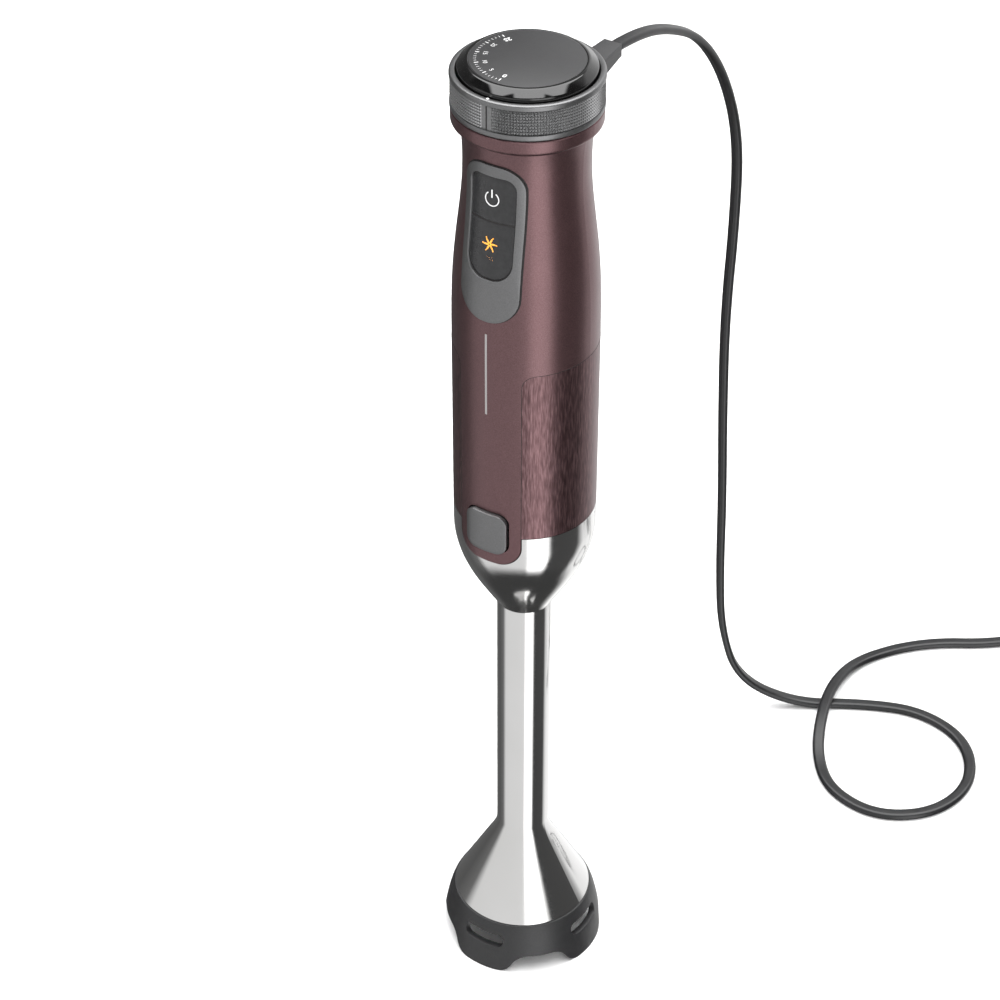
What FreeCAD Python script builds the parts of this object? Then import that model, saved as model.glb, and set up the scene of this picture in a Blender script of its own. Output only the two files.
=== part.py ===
import FreeCAD, Part
import math
import os

# Immersion blender standing on its blade guard.  Millimetres, +Z up, origin on the
# floor on the axis of the blade shaft, controls facing -Y, cord leaving towards +Y.

V = FreeCAD.Vector
UP = V(0, 0, 1)
FRONT = V(0, -1, 0)
BACK = V(0, 1, 0)

# ---------------------------------------------------------------- driving dimensions
SHAFT_LENGTH = 240.3      # floor to the parting line between blending shaft and handle
HANDLE_LENGTH = 180.2     # parting line to the top edge of the painted housing
GRIP_R = 28.95            # painted housing, at the grip
NECK_R = 24.2             # painted housing, at its narrowest
FLARE_R = 27.6            # painted housing, where its neck flares out at the top
SHELL_WALL = 2.4

RUN_GAP = 0.3             # between pieces that move past each other
SEAT_GAP = 0.4            # between the shaft and the housing parts that it pulls away from
JOURNAL_GAP = 0.05        # radial, a shaft in its bush or a ring on its spigot
PRESS_TRAVEL = 1.5        # all three buttons

NECK_DROP = 23.5          # top of housing down to the narrowest place
SHOULDER_DROP = 103.5     # top of housing down to where the grip starts to narrow
NECK_CURVE = 1.6          # exponent: how late the shoulder turns in
FLARE_CURVE = 3.0         # exponent: how late the neck flares out

# speed ring and dial
RING_R = 28.9
COLLAR_R = RING_R - 0.3   # band of the housing under the ring
COLLAR_H = 5.8
COLLAR_ROUND = 1.5        # band's lower edge
COLLAR_FOOT = 1.9         # height of the slope from the band in to the neck
COLLAR_EDGE = 0.4         # band's upper edge
RING_H = 14.5
RING_BEVEL = 1.2           # ring's top outer edge, and the flat rim inside it
RING_TOP_R = RING_R - RING_BEVEL
RING_BORE_R = RING_TOP_R - RING_BEVEL
RING_LIP_H = 2.3
RING_BAND_DEPTH = 0.35
RING_FLANGE_T = 2.6
RING_GROOVE_W = 1.1        # index groove down the front of the band
RING_GROOVE_DEPTH = 0.45
SPIGOT_R = 22.5            # hub that the ring turns on
CAP_GAP = 0.5              # round the cap, inside the ring
CAP_EDGE_R = RING_BORE_R - CAP_GAP
CAP_SHOULDER = 3.8         # width of the cap's sloping edge
CAP_FLAT_R = CAP_EDGE_R - CAP_SHOULDER
CAP_SKIRT = 4.0            # cap's hidden wall, below its edge
CAP_SCREW_CIRCLE_R = 14.0
CAP_SCREW_R = 1.6
TOP_FRAME_H = 6.0
WIRE_HOLE_R = 8.0
CAP_RISE = 0.5            # cap's lower edge above the ring's rim
CAP_BEVEL_H = 3.3
FACE_T = 1.1
FACE_PROUD = 0.1
FACE_SEAT = 0.5            # cap's rim round the dial face
POINTER_R = 0.5

# controls on the front of the neck, as heights below the top of the housing
BEZEL_PROUD = 0.8
BEZEL_DEPTH = 1.3
WINDOW_TOP_DROP = 18.5
WINDOW_BOTTOM_DROP = 61.3
WINDOW_HALF_W = 9.8
BEZEL_SIDE = 3.3           # bezel beside, above and below the window
BEZEL_HEAD = 4.8
BEZEL_CHIN = 18.2
WINDOW_HIGH_CORNER = 4.5
WINDOW_FOOT_FLAT = 1.8     # half of the flat between the window's two low corners
WINDOW_LOW_CORNER = WINDOW_HALF_W - WINDOW_FOOT_FLAT
BEZEL_HALF_W = WINDOW_HALF_W + BEZEL_SIDE
BEZEL_HIGH_CORNER = 9.5
BEZEL_FOOT_FLAT = 1.1
BEZEL_LOW_CORNER = BEZEL_HALF_W - BEZEL_FOOT_FLAT
BEZEL_TOP_DROP = WINDOW_TOP_DROP - BEZEL_HEAD
BEZEL_BOTTOM_DROP = WINDOW_BOTTOM_DROP + BEZEL_CHIN
BUTTON_SPLIT_DROP = 37.6
BUTTON_PROUD = 0.15
BUTTON_BACK = 1.5         # button body behind the housing's inner wall
BUTTON_LIP = 1.0          # how far the button's retaining edge runs past the window
BUTTON_POST_R = 2.5
ICON_T = 0.3
ICON_GAP = 0.02          # under the prints that lie on a button's curved face
POWER_ICON_DROP = 28.2
TURBO_ICON_DROP = 46.8
POWER_RING_R = 3.2
POWER_LINE = 0.7
POWER_BAR_W = 0.72
POWER_BAR_H = 3.4
TURBO_PETALS = 6
TURBO_PETAL_R = 3.5
TURBO_HUB_R = 0.6

# accent strip and grip panel
STRIP_TOP_DROP = 85.4
STRIP_LENGTH = 37.0
STRIP_W = 0.9
STRIP_T = 0.8
PANEL_T = 1.2
PANEL_HALF_W = 14.0       # half of the painted spine between the panel's two edges
PANEL_FRONT_H = 78.2
PANEL_BACK_H = 81.2
PANEL_CORNER_Z = 6.0
PANEL_CORNER_Y = 3.4

# tongue and release button
RELEASE_HALF_W = 9.3
RELEASE_BELOW = 8.3       # release button, below and above the parting line
RELEASE_ABOVE = 10.7
RELEASE_PROUD = 1.5
RELEASE_EDGE = 0.6         # height of the button's low rim, and how far the crown stands in from it
RELEASE_CROWN_INSET = 1.3
RELEASE_CORNER = 4.5
TONGUE_SIDE = 4.5          # painted tongue beside and below the release button
TONGUE_BELOW = 5.8
TONGUE_DROP = RELEASE_BELOW + TONGUE_BELOW
TONGUE_HALF_W = RELEASE_HALF_W + TONGUE_SIDE
TONGUE_CORNER = 9.0

# blending shaft
CUP_WALL = 1.2
CUP_TUBE_DROP = 52.3      # parting line down to where the cup meets the tube
CUP_STRAIGHT = 9.3        # parting line down to where the cup starts to narrow
CUP_SHOULDER_DROP = 26.3
CUP_NECK_DROP = 40.8
CUP_NECK_FLARE = 6.8
CUP_SEAT = 0.25           # cup's mouth stands this much outside the tube
TUBE_R = 11.35
TUBE_WALL = 1.0
BELL_TOP_Z = 64.0
BELL_THROAT_Z = 53.5
BELL_THROAT_FLARE = 2.95   # throat of the bell outside the tube
BELL_THROAT_R = TUBE_R + BELL_THROAT_FLARE
BELL_BRIM_R = 29.8         # bell's edge, which lies over the top of the guard
BELL_BRIM_Z = 24.4
BELL_BRIM_T = 0.7
BELL_LIP_R = BELL_BRIM_R - 1.6
BELL_LIP_H = 4.2           # lip inside the guard, below the edge
BELL_WALL = 1.2
GUARD_WALL = 2.4
GUARD_RIM_R = BELL_BRIM_R + 0.5
GUARD_WAIST_R = GUARD_RIM_R + 3.0
GUARD_FOOT_R = GUARD_RIM_R + 5.4
GUARD_WAIST_Z = 19.0
GUARD_FEET = 4
NOTCH_H = 9.0
NOTCH_TOP_HALF_W = 10.0
NOTCH_FOOT_HALF_W = 15.0
NOTCH_CORNER = 5.0         # reach of the rounding at each corner of a notch
SLOT_HALF_W = 9.6
SLOT_LOW_Z = 12.4
SLOT_H = 6.2
SLOT_CORNER = 2.7
SPINDLE_R = 3.0
BLADE_SPAN_R = 22.0
BLADE_T = 1.4
BLADE_Z = 15.0
BLADE_WIDTH = 12.0
BLADE_HUB_R = 5.5
BLADE_HUB_PROUD = 1.0
BLADE_TIP_L = 9.0
BLADE_BEND = 32           # degrees, one tip up and the other down
NUT_FLATS = 9.0
NUT_H = 4.0
SEAL_R = 7.5
SEAL_H = 6.0
NOSE_R = (5.5, 8.0)       # bearing nose at its tip and at the seal
NOSE_TIP_RISE = 18.0      # blade up to the nose's tip
BUSH_R = 9.0
BUSH_H = 8.0
BUSH_RISE = 8.0           # tube's top up to the upper bush
SLEEVE_R = 12.0
LOWER_BUSH_H = 12.0
ADAPTOR_PLATE_DROPS = (0.5, 9.0)

# drive coupling
COUPLING_R = 7.0
HEX_FLATS = 8.0
HEX_DEPTH = 12.0
HEX_GAP = 0.3
SOCKET_BORE_R = 20.4
SOCKET_H = 17.0
SPIGOT_H = 13.5           # shaft adaptor, above the parting line

# motor
FAN_R = 19.0
FAN_H = 5.0
FAN_BLADES = 9
STATOR_R = 22.5
STATOR_H = 30.0
ARMATURE_R = 13.0
AIR_GAP = 0.6
MOTOR_SHAFT_R = 2.5
BEARING_R = 8.0
BEARING_H = 6.0
COMMUTATOR_R = 8.0
COMMUTATOR_H = 7.0
POST_R = 1.7
POST_CIRCLE_R = STATOR_R + POST_R
FRAME_T = 4.0
FRAME_GAP = 0.35          # round the motor frame's plates
VENT_R = 3.2
VENT_CIRCLE_R = 15.5
VENTS = 6
MOUNT_R = 2.6
MOUNT_CIRCLE_R = POST_CIRCLE_R - 1.5
COIL_FLANK = (16.0, 19.5) # pocket of a field coil, from and to this far off the axis
COIL_POCKET_HALF_W = 9.0
COIL_CLEARANCE = 0.2
COIL_OVERHANG = 6.0
SLOT_ROOT_R = 9.0
ARMATURE_SLOTS = 12
ARMATURE_SLOT_W = 1.8
WINDING_H = 5.0
WINDING_IN = 1.5          # end windings inside the core's outside
FAN_HUB_R = 6.0
FAN_DISC_T = 1.0
FAN_BLADE_T = 1.2
HOLDER_OUT_R = 19.0
HOLDER_HALF_W = 3.6
BRUSH_HALF_W = 2.5
BRUSH_H = 4.4
BRUSH_OUT_R = 17.5
BRUSH_RISE = 1.8          # commutator's low edge up to the brush

# circuit board
BOARD_HALF_W = 13.5
BOARD_T = 1.6
BOARD_Y = -12.0
BOARD_H = 66.0
SWITCH_H = 3.4
SWITCH_HALF_W = 3.0
SWITCH_STEM_R = 1.7
SWITCH_STEM_H = 1.2
BOARD_TOP_DROP = 4.0
CAPACITOR_R = 5.5
CAPACITOR_L = 17.0
CAPACITOR_DROP = 58.0

# strain relief, cord and plug
RELIEF_REACH = 62.0
RELIEF_ROOT_IN = 1.0      # wedge's root, inside the housing's inner wall
FLANGE_HALF_W = 8.5       # flange that holds the relief in the housing
FLANGE_DROPS = (7.0, 22.0)
FLANGE_IN = 3.0
CLAMP_HALF_W = 7.5
CLAMP_DROPS = (6.0, 19.0)
CLAMP_Y = (10.5, 15.0)
NECK_HALF_W = 5.0
NECK_DROPS = (8.0, 12.0)
RELIEF_ROOT_W = 14.0
RELIEF_TIP_W = 8.2
RELIEF_ROOT_DROPS = (2.2, 13.0)
RELIEF_TIP_DROPS = (2.4, 8.2)
CORD_D = 5.6
COIL_MEAN_R = 31.0
COIL_TURNS = 2
COIL_SLACK = 0.6          # loose turns: room beside and over the wound cord
COIL_CENTRE = V(155.4, 302.3, 0)
CORD_ROUTE = (
    (0, 62, 415.2), (0, 84, 415.2), (0, 110, 408), (1, 138, 392), (2, 159, 365), (3, 168, 328),
    (1, 171, 282), (-2, 173, 230), (-1, 174, 178), (2, 173, 128), (3, 173, 84), (5, 174, 50),
    (13, 179, 18), (38, 194, 2.8), (67, 212, 2.8), (94, 222, 2.8), (122, 214, 2.8),
    (137, 188, 2.8), (131, 160, 2.8), (108, 143, 2.8), (82, 147, 2.8), (66, 164, 2.8),
    (56, 186, 9.4), (49, 213, 9.4), (50, 242, 2.8), (72, 271, 2.8), (105, 290, 2.8), (139, 328.7, 2.8),
)
TAIL_ROUTE = ((181.7, 318.7, 8.6), (194.6, 300.4, 13), (202.2, 288.2, 13))
PLUG_W = 35.3
PLUG_THICK = 26.0
PLUG_BODY_L = 32.0
PLUG_NECK_L = 18.0
PIN_R = 2.4
PIN_L = 19.0
PIN_SPACING = 19.0
PLUG_NECK_R = (4.2, 7.0)
PLUG_CORNER = 9.0

# ---------------------------------------------------------------- derived heights
PARTING = SHAFT_LENGTH
HANDLE_TOP = PARTING + HANDLE_LENGTH
NECK_Z = HANDLE_TOP - NECK_DROP
SHOULDER_Z = HANDLE_TOP - SHOULDER_DROP
RING_LOW = HANDLE_TOP + RUN_GAP
RING_TOP = RING_LOW + RING_H
CAP_LOW = RING_TOP + CAP_RISE
CAP_TOP = CAP_LOW + CAP_BEVEL_H
CUP_R = GRIP_R - JOURNAL_GAP
CUP_TOP = PARTING - RUN_GAP
TUBE_TOP = PARTING - CUP_TUBE_DROP
FAR = 70.0                # reach of cutting prisms, past every outer face


# ---------------------------------------------------------------- helpers
def handle_radius(z):
    """Outer radius of the painted housing at a height."""
    if z <= SHOULDER_Z:
        return GRIP_R
    if z <= NECK_Z:
        share = ((z - SHOULDER_Z) / (NECK_Z - SHOULDER_Z)) ** NECK_CURVE
        return GRIP_R - (GRIP_R - NECK_R) * math.sin(math.pi / 2 * share) ** 2
    share = (z - NECK_Z) / NECK_DROP
    return NECK_R + (FLARE_R - NECK_R) * share ** FLARE_CURVE


def turned(edges):
    """Solid of revolution about Z of a closed outline in the XZ plane."""
    return Part.Face(Part.Wire(edges)).revolve(V(0, 0, 0), UP, 360)


def turned_polygon(points):
    """Solid of revolution of straight-sided (radius, z) corners."""
    corners = [V(r, 0, z) for r, z in points]
    return turned(Part.makePolygon(corners + corners[:1]).Edges)


def line(a, b):
    return Part.LineSegment(V(a[0], 0, a[1]), V(b[0], 0, b[1])).toShape()


def bezier(*points):
    curve = Part.BezierCurve()
    curve.setPoles([V(r, 0, z) for r, z in points])
    return curve.toShape()


def skin(low, high, inner, outer):
    """Layer of the housing between two radial offsets from its outer surface."""
    steps = max(2, int((high - low) / 7.0) + 1)
    heights = [low + (high - low) * i / steps for i in range(steps + 1)]

    def side(offset):
        curve = Part.BSplineCurve()
        curve.interpolate([V(handle_radius(z) + offset, 0, z) for z in heights])
        return curve.toShape()

    return turned([
        side(inner),
        line((handle_radius(high) + inner, high), (handle_radius(high) + outer, high)),
        side(outer),
        line((handle_radius(low) + outer, low), (handle_radius(low) + inner, low)),
    ])


def disc(radius, low, high, x=0.0, y=0.0):
    return Part.makeCylinder(radius, high - low, V(x, y, low))


def ring(inner, outer, low, high, x=0.0, y=0.0):
    return disc(outer, low, high, x, y).cut(disc(inner, low - 1, high + 1, x, y))


def block(x0, x1, y0, y1, z0, z1):
    return Part.makeBox(x1 - x0, y1 - y0, z1 - z0, V(x0, y0, z0))


def rod(radius, start, end):
    way = end - start
    return Part.makeCylinder(radius, way.Length, start, way)


def window(half_w, low, high, low_corner, high_corner):
    """Prism in front of the axis with a round-cornered outline seen from -Y."""
    def corner(x, z, sx, sz, r):
        bend = r * (1 - math.sqrt(0.5))
        a, b, c = (x, z - sz * r), (x - sx * bend, z - sz * bend), (x - sx * r, z)
        return a, b, c

    turns = [
        corner(half_w, low, 1, -1, low_corner),
        corner(half_w, high, 1, 1, high_corner),
        corner(-half_w, high, -1, 1, high_corner),
        corner(-half_w, low, -1, -1, low_corner),
    ]
    turns[0] = turns[0][::-1]
    turns[2] = turns[2][::-1]
    edges = []
    for i, (start, middle, end) in enumerate(turns):
        points = [V(x, 0, z) for x, z in (start, middle, end)]
        edges.append(Part.Arc(*points).toShape())
        following = turns[(i + 1) % 4][0]
        if math.dist(end, following) > 1e-6:
            edges.append(line(end, following))
    return Part.Face(Part.Wire(edges)).extrude(FRONT * FAR)


def around(shape, count, first=0.0):
    """Copies of a shape turned about Z, as one group of separate solids."""
    copies = []
    for i in range(count):
        copy = shape.copy()
        copy.rotate(V(0, 0, 0), UP, first + 360.0 * i / count)
        copies.append(copy)
    return copies


def turned_about_z(shape, degrees):
    copy = shape.copy()
    copy.rotate(V(0, 0, 0), UP, degrees)
    return copy


def hexagon(flats, low, high):
    corners = []
    for i in range(7):
        angle = math.radians(60 * i)
        corner_r = flats / math.sqrt(3)
        corners.append(V(corner_r * math.cos(angle), corner_r * math.sin(angle), low))
    return Part.Face(Part.makePolygon(corners)).extrude(UP * (high - low))


def fused(shapes):
    whole = shapes[0]
    for shape in shapes[1:]:
        whole = whole.fuse(shape)
    return whole.removeSplitter()


NODES = {}


def node(name, shape):
    """Keep a sub-part: one shape, or a list of separate solids."""
    NODES[name] = Part.makeCompound(shape) if isinstance(shape, list) else shape


# ---------------------------------------------------------------- painted housing
def panel_region():
    """Side outline of the grip panel, extruded right across the handle."""
    front_y = -math.sqrt(GRIP_R ** 2 - PANEL_HALF_W ** 2)
    front_top = PARTING + PANEL_FRONT_H
    back_top = PARTING + PANEL_BACK_H

    def at(y, z):
        return V(-FAR, y, z)

    round_start = at(front_y, front_top - PANEL_CORNER_Z)
    round_end = at(front_y + PANEL_CORNER_Y, front_top)
    rounding = Part.BezierCurve()
    rounding.setPoles([round_start, at(front_y, front_top), round_end])
    path = [at(FAR, back_top), at(FAR, PARTING), at(front_y, PARTING), round_start]
    edges = [Part.LineSegment(a, b).toShape() for a, b in zip(path, path[1:])]
    edges += [rounding.toShape(), Part.LineSegment(round_end, path[0]).toShape()]
    return Part.Face(Part.Wire(edges)).extrude(V(2 * FAR, 0, 0))


def panel_layer(outer):
    layer = skin(PARTING, PARTING + PANEL_BACK_H + 1, -PANEL_T, outer)
    return layer.common(panel_region())


def bezel_window(grow=0.0):
    return window(BEZEL_HALF_W + grow, HANDLE_TOP - BEZEL_BOTTOM_DROP - grow,
                  HANDLE_TOP - BEZEL_TOP_DROP + grow,
                  BEZEL_LOW_CORNER + grow, BEZEL_HIGH_CORNER + grow)


def button_window(grow=0.0):
    return window(WINDOW_HALF_W + grow, HANDLE_TOP - WINDOW_BOTTOM_DROP - grow,
                  HANDLE_TOP - WINDOW_TOP_DROP + grow,
                  WINDOW_LOW_CORNER + grow, WINDOW_HIGH_CORNER + grow)


def release_window(grow=0.0):
    return window(RELEASE_HALF_W + grow, PARTING - RELEASE_BELOW - grow,
                  PARTING + RELEASE_ABOVE + grow, RELEASE_CORNER + grow, RELEASE_CORNER + grow)


def relief_block(grow=0.0):
    """Flat-topped wedge that leads the cord out of the back of the neck."""
    sections = []
    root_y = NECK_R - SHELL_WALL - RELIEF_ROOT_IN
    stations = ((root_y, RELIEF_ROOT_W, RELIEF_ROOT_DROPS), (RELIEF_REACH, RELIEF_TIP_W, RELIEF_TIP_DROPS))
    for y, width, drops in stations:
        half = width / 2 + grow
        high, low = HANDLE_TOP - drops[0] + grow, HANDLE_TOP - drops[1] - grow
        corners = [V(-half, y, low), V(half, y, low), V(half, y, high), V(-half, y, high)]
        sections.append(Part.makePolygon(corners + corners[:1]))
    return Part.makeLoft(sections, True, True)


def collar():
    """Band round the top of the housing, rounded below, that slopes in to the neck."""
    low = HANDLE_TOP - COLLAR_H
    foot = low - COLLAR_FOOT
    corners = [
        (FLARE_R - SHELL_WALL / 2, HANDLE_TOP), (COLLAR_R - COLLAR_EDGE, HANDLE_TOP),
        (COLLAR_R, HANDLE_TOP - COLLAR_EDGE), (COLLAR_R, low + COLLAR_ROUND),
    ]
    turn = [(COLLAR_R, low + COLLAR_ROUND), (COLLAR_R, low), (COLLAR_R - COLLAR_ROUND, low)]
    foot_out = (handle_radius(foot) - 0.1, foot)
    foot_in = (handle_radius(foot) - SHELL_WALL / 2, foot)
    edges = [line(a, b) for a, b in zip(corners, corners[1:])] + [bezier(*turn)]
    edges += [line(turn[-1], foot_out), line(foot_out, foot_in), line(foot_in, corners[0])]
    return turned(edges)


def handle_shell():
    shell = fused([skin(PARTING, HANDLE_TOP, -SHELL_WALL, 0), collar()])
    tongue_low = PARTING - TONGUE_DROP
    tongue = ring(GRIP_R - SHELL_WALL, GRIP_R, tongue_low, PARTING)
    outline = window(TONGUE_HALF_W, tongue_low, PARTING + 3 * TONGUE_CORNER, TONGUE_CORNER, 1.0)
    shell = fused([shell, tongue.common(outline)])
    shell = shell.cut(panel_layer(1.0))
    shell = shell.cut(skin(HANDLE_TOP - BEZEL_BOTTOM_DROP - 2, HANDLE_TOP - BEZEL_TOP_DROP + 2,
                           -BEZEL_DEPTH, 2).common(bezel_window()))
    shell = shell.cut(button_window(SEAT_GAP))
    shell = shell.cut(release_window(RUN_GAP))
    strip_low = HANDLE_TOP - STRIP_TOP_DROP - STRIP_LENGTH
    pocket = block(-STRIP_W / 2, STRIP_W / 2, -FAR, -(GRIP_R - STRIP_T), strip_low,
                   strip_low + STRIP_LENGTH)
    shell = shell.cut(pocket)
    return shell.cut(relief_block())


node("handle_shell", handle_shell())
node("grip_panel", panel_layer(0.0))


def accent_strip():
    low = HANDLE_TOP - STRIP_TOP_DROP - STRIP_LENGTH
    bar = block(-STRIP_W / 2, STRIP_W / 2, -FAR, -(GRIP_R - STRIP_T), low, low + STRIP_LENGTH)
    return skin(low, low + STRIP_LENGTH, -2 * STRIP_T, 0.05).common(bar)


node("accent_strip", accent_strip())


# ---------------------------------------------------------------- buttons and bezel
def control_bezel():
    low, high = HANDLE_TOP - BEZEL_BOTTOM_DROP - 2, HANDLE_TOP - BEZEL_TOP_DROP + 2
    plate = skin(low, high, -BEZEL_DEPTH, BEZEL_PROUD).common(bezel_window())
    plate = plate.cut(button_window())
    return plate


node("control_bezel", control_bezel())

SPLIT_Z = HANDLE_TOP - BUTTON_SPLIT_DROP
WINDOW_LOW = HANDLE_TOP - WINDOW_BOTTOM_DROP
WINDOW_HIGH = HANDLE_TOP - WINDOW_TOP_DROP
SWITCH_FACE_Y = BOARD_Y - BOARD_T - SWITCH_H
POWER_Z = HANDLE_TOP - POWER_ICON_DROP
TURBO_Z = HANDLE_TOP - TURBO_ICON_DROP


def push_button(low, high, icon_z):
    """Front button: faced piece in the window, retaining edge behind, switch post."""
    span = block(-FAR, FAR, -FAR, 0, low, high)
    inner_back = -SHELL_WALL - RUN_GAP - BUTTON_BACK
    faced = skin(low - 1, high + 1, inner_back, BUTTON_PROUD).common(button_window(-RUN_GAP))
    edge_layer = skin(low - 3, high + 3, inner_back + 0.3, -SHELL_WALL - RUN_GAP)
    edge = edge_layer.common(button_window(BUTTON_LIP))
    post_start = -(handle_radius(icon_z) + inner_back + 0.5)
    post = rod(BUTTON_POST_R, V(0, post_start, icon_z), V(0, SWITCH_FACE_Y - PRESS_TRAVEL - RUN_GAP, icon_z))
    return fused([faced.fuse(edge).common(span), post])


node("power_button", push_button(SPLIT_Z + RUN_GAP / 2, WINDOW_HIGH + 3, POWER_Z))
node("turbo_button", push_button(WINDOW_LOW - 3, SPLIT_Z - RUN_GAP / 2, TURBO_Z))


def raised_on_button(prism, z, half_h):
    """A print or light window lying on a button's face."""
    layer = skin(z - half_h - 1, z + half_h + 1, BUTTON_PROUD + ICON_GAP, BUTTON_PROUD + ICON_T)
    return layer.common(prism)


def power_icon():
    bar_low = POWER_Z + 0.3
    opening = 1.25
    annulus = rod(POWER_RING_R, V(0, 0, POWER_Z), V(0, -FAR, POWER_Z))
    annulus = annulus.cut(rod(POWER_RING_R - POWER_LINE, V(0, 1, POWER_Z), V(0, -FAR - 1, POWER_Z)))
    annulus = annulus.cut(block(-opening, opening, -FAR - 1, 1, POWER_Z + 1.0, POWER_Z + POWER_RING_R + 1))
    bar = block(-POWER_BAR_W / 2, POWER_BAR_W / 2, -FAR, 0, bar_low, bar_low + POWER_BAR_H)
    return [raised_on_button(p, POWER_Z, POWER_RING_R + 1.8) for p in (annulus, bar)]


def turbo_icon():
    petals = []
    reach = TURBO_PETAL_R + 1.5
    for i in range(TURBO_PETALS):
        petal = block(TURBO_HUB_R + 0.3, TURBO_PETAL_R, -FAR, 0, -0.1, 0.95)
        petal.rotate(V(0, 0, 0), FRONT, 360 / TURBO_PETALS * i + 20)
        petal.translate(V(0, 0, TURBO_Z))
        petals.append(raised_on_button(petal, TURBO_Z, reach))
    hub = rod(TURBO_HUB_R, V(0, 0, TURBO_Z), V(0, -FAR, TURBO_Z))
    return petals + [raised_on_button(hub, TURBO_Z, reach)]


node("power_icon", power_icon())
node("turbo_icon", turbo_icon())

LATCH_LOW = PARTING + 3.0
LATCH_HIGH = PARTING + 8.5
LATCH_MID = (LATCH_LOW + LATCH_HIGH) / 2
LATCH_HALF_W = 4.0
RELEASE_INNER_R = GRIP_R - SHELL_WALL - RUN_GAP
LATCH_TIP_Y = -(SOCKET_BORE_R + PRESS_TRAVEL)
SPRING_R = 1.9
SPRING_WIRE = 0.5
SPRING_SEAT_Y = -RELEASE_INNER_R + 1.8


def release_button():
    low, high = PARTING - RELEASE_BELOW, PARTING + RELEASE_ABOVE
    body = ring(RELEASE_INNER_R, GRIP_R + RELEASE_EDGE, low - 1, high + 1)
    body = body.common(release_window())
    crown = ring(GRIP_R, GRIP_R + RELEASE_PROUD, low - 1, high + 1)
    crown = crown.common(release_window(-RELEASE_CROWN_INSET))
    return fused([body, crown])


def latch_slide():
    """Stem and tooth behind the release button, above the shaft's spigot path."""
    stem = block(-LATCH_HALF_W, LATCH_HALF_W, -FAR, LATCH_TIP_Y, LATCH_LOW, LATCH_HIGH)
    stem = stem.common(disc(RELEASE_INNER_R, LATCH_LOW, LATCH_HIGH))
    return stem.cut(rod(SPRING_R, V(0, SPRING_SEAT_Y, LATCH_MID), V(0, 0, LATCH_MID)))


node("release_button", release_button())
node("latch_slide", latch_slide())


# ---------------------------------------------------------------- top: frame, ring, dial
def top_frame():
    low = HANDLE_TOP - TOP_FRAME_H
    seat = skin(low, HANDLE_TOP, -handle_radius(low), -SHELL_WALL)
    core = disc(handle_radius(low) - SHELL_WALL, low, HANDLE_TOP)
    hub = disc(SPIGOT_R, HANDLE_TOP - 1, CAP_LOW - CAP_SKIRT)
    whole = fused([seat.fuse(core), hub])
    wires = disc(WIRE_HOLE_R, low - 2, CAP_LOW)
    groove = block(-BOARD_HALF_W, BOARD_HALF_W, BOARD_Y - BOARD_T, BOARD_Y,
                   low - 2, HANDLE_TOP - BOARD_TOP_DROP)
    whole = whole.cut(wires).cut(groove)
    return whole.cut(relief_block(0.2))


node("top_frame", top_frame())


def speed_ring():
    band_low, band_high = RING_LOW + RING_LIP_H, RING_TOP - RING_LIP_H
    band_r = RING_R - RING_BAND_DEPTH
    outline = [
        (SPIGOT_R + JOURNAL_GAP, RING_LOW), (RING_R - 0.8, RING_LOW), (RING_R - 0.1, RING_LOW + 0.7),
        (RING_R - 0.1, band_low), (band_r, band_low), (band_r, band_high), (RING_R, band_high),
        (RING_R, RING_TOP - 0.9), (RING_TOP_R, RING_TOP), (RING_BORE_R, RING_TOP),
        (RING_BORE_R, RING_LOW + RING_FLANGE_T), (SPIGOT_R + JOURNAL_GAP, RING_LOW + RING_FLANGE_T),
    ]
    body = turned_polygon(outline)
    mark = block(-RING_GROOVE_W / 2, RING_GROOVE_W / 2, -FAR, -(band_r - RING_GROOVE_DEPTH),
                 band_low - 0.5, band_high + 0.5)
    return body.cut(mark).cut(pointer())


def pointer():
    return disc(POINTER_R, RING_TOP - 0.5, RING_TOP + 0.05, 0, -(RING_BORE_R + RING_TOP_R) / 2)


node("speed_ring", speed_ring())
node("ring_pointer", pointer())

TRACK_Z = RING_LOW + RING_FLANGE_T + 4.2
TRACK_T = 1.2
TRACK_OUT_R = RING_BORE_R - 0.6
WIPER_R = SPIGOT_R + 1.9
WIPER_L = 3.0
WIPER_T = 0.6


def ring_wiper():
    low, high = RING_LOW + RING_FLANGE_T, TRACK_Z - RUN_GAP
    arm = block(WIPER_R - 1.0, WIPER_R + 1.0, -WIPER_L, WIPER_L, low, low + WIPER_T)
    tip = block(WIPER_R - 0.8, WIPER_R + 0.8, WIPER_L - 2 * WIPER_T, WIPER_L, low, high)
    return turned_about_z(fused([arm, tip]), 200)


node("ring_wiper", ring_wiper())
node("track_board", ring(SPIGOT_R, TRACK_OUT_R, TRACK_Z, TRACK_Z + TRACK_T))


def dial_cap():
    seat = CAP_LOW - CAP_SKIRT
    outline = [(0, seat), (CAP_EDGE_R - 0.1, seat), (CAP_EDGE_R, CAP_LOW), (CAP_FLAT_R + 0.9, CAP_TOP - 0.35),
               (CAP_FLAT_R, CAP_TOP), (0, CAP_TOP)]
    body = turned_polygon(outline)
    bore = disc(CAP_FLAT_R - FACE_SEAT, FACE_LOW, CAP_TOP + 1)
    posts = [disc(CAP_SCREW_R, seat - 1, CAP_TOP, x, y) for x, y in CAP_SCREWS]
    body = body.cut(bore)
    for post in posts:
        body = body.cut(post)
    return body


FACE_LOW = CAP_TOP - FACE_T + FACE_PROUD
CAP_SCREWS = [(CAP_SCREW_CIRCLE_R * math.cos(math.radians(a)), CAP_SCREW_CIRCLE_R * math.sin(math.radians(a)))
              for a in (90, 210, 330)]


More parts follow.
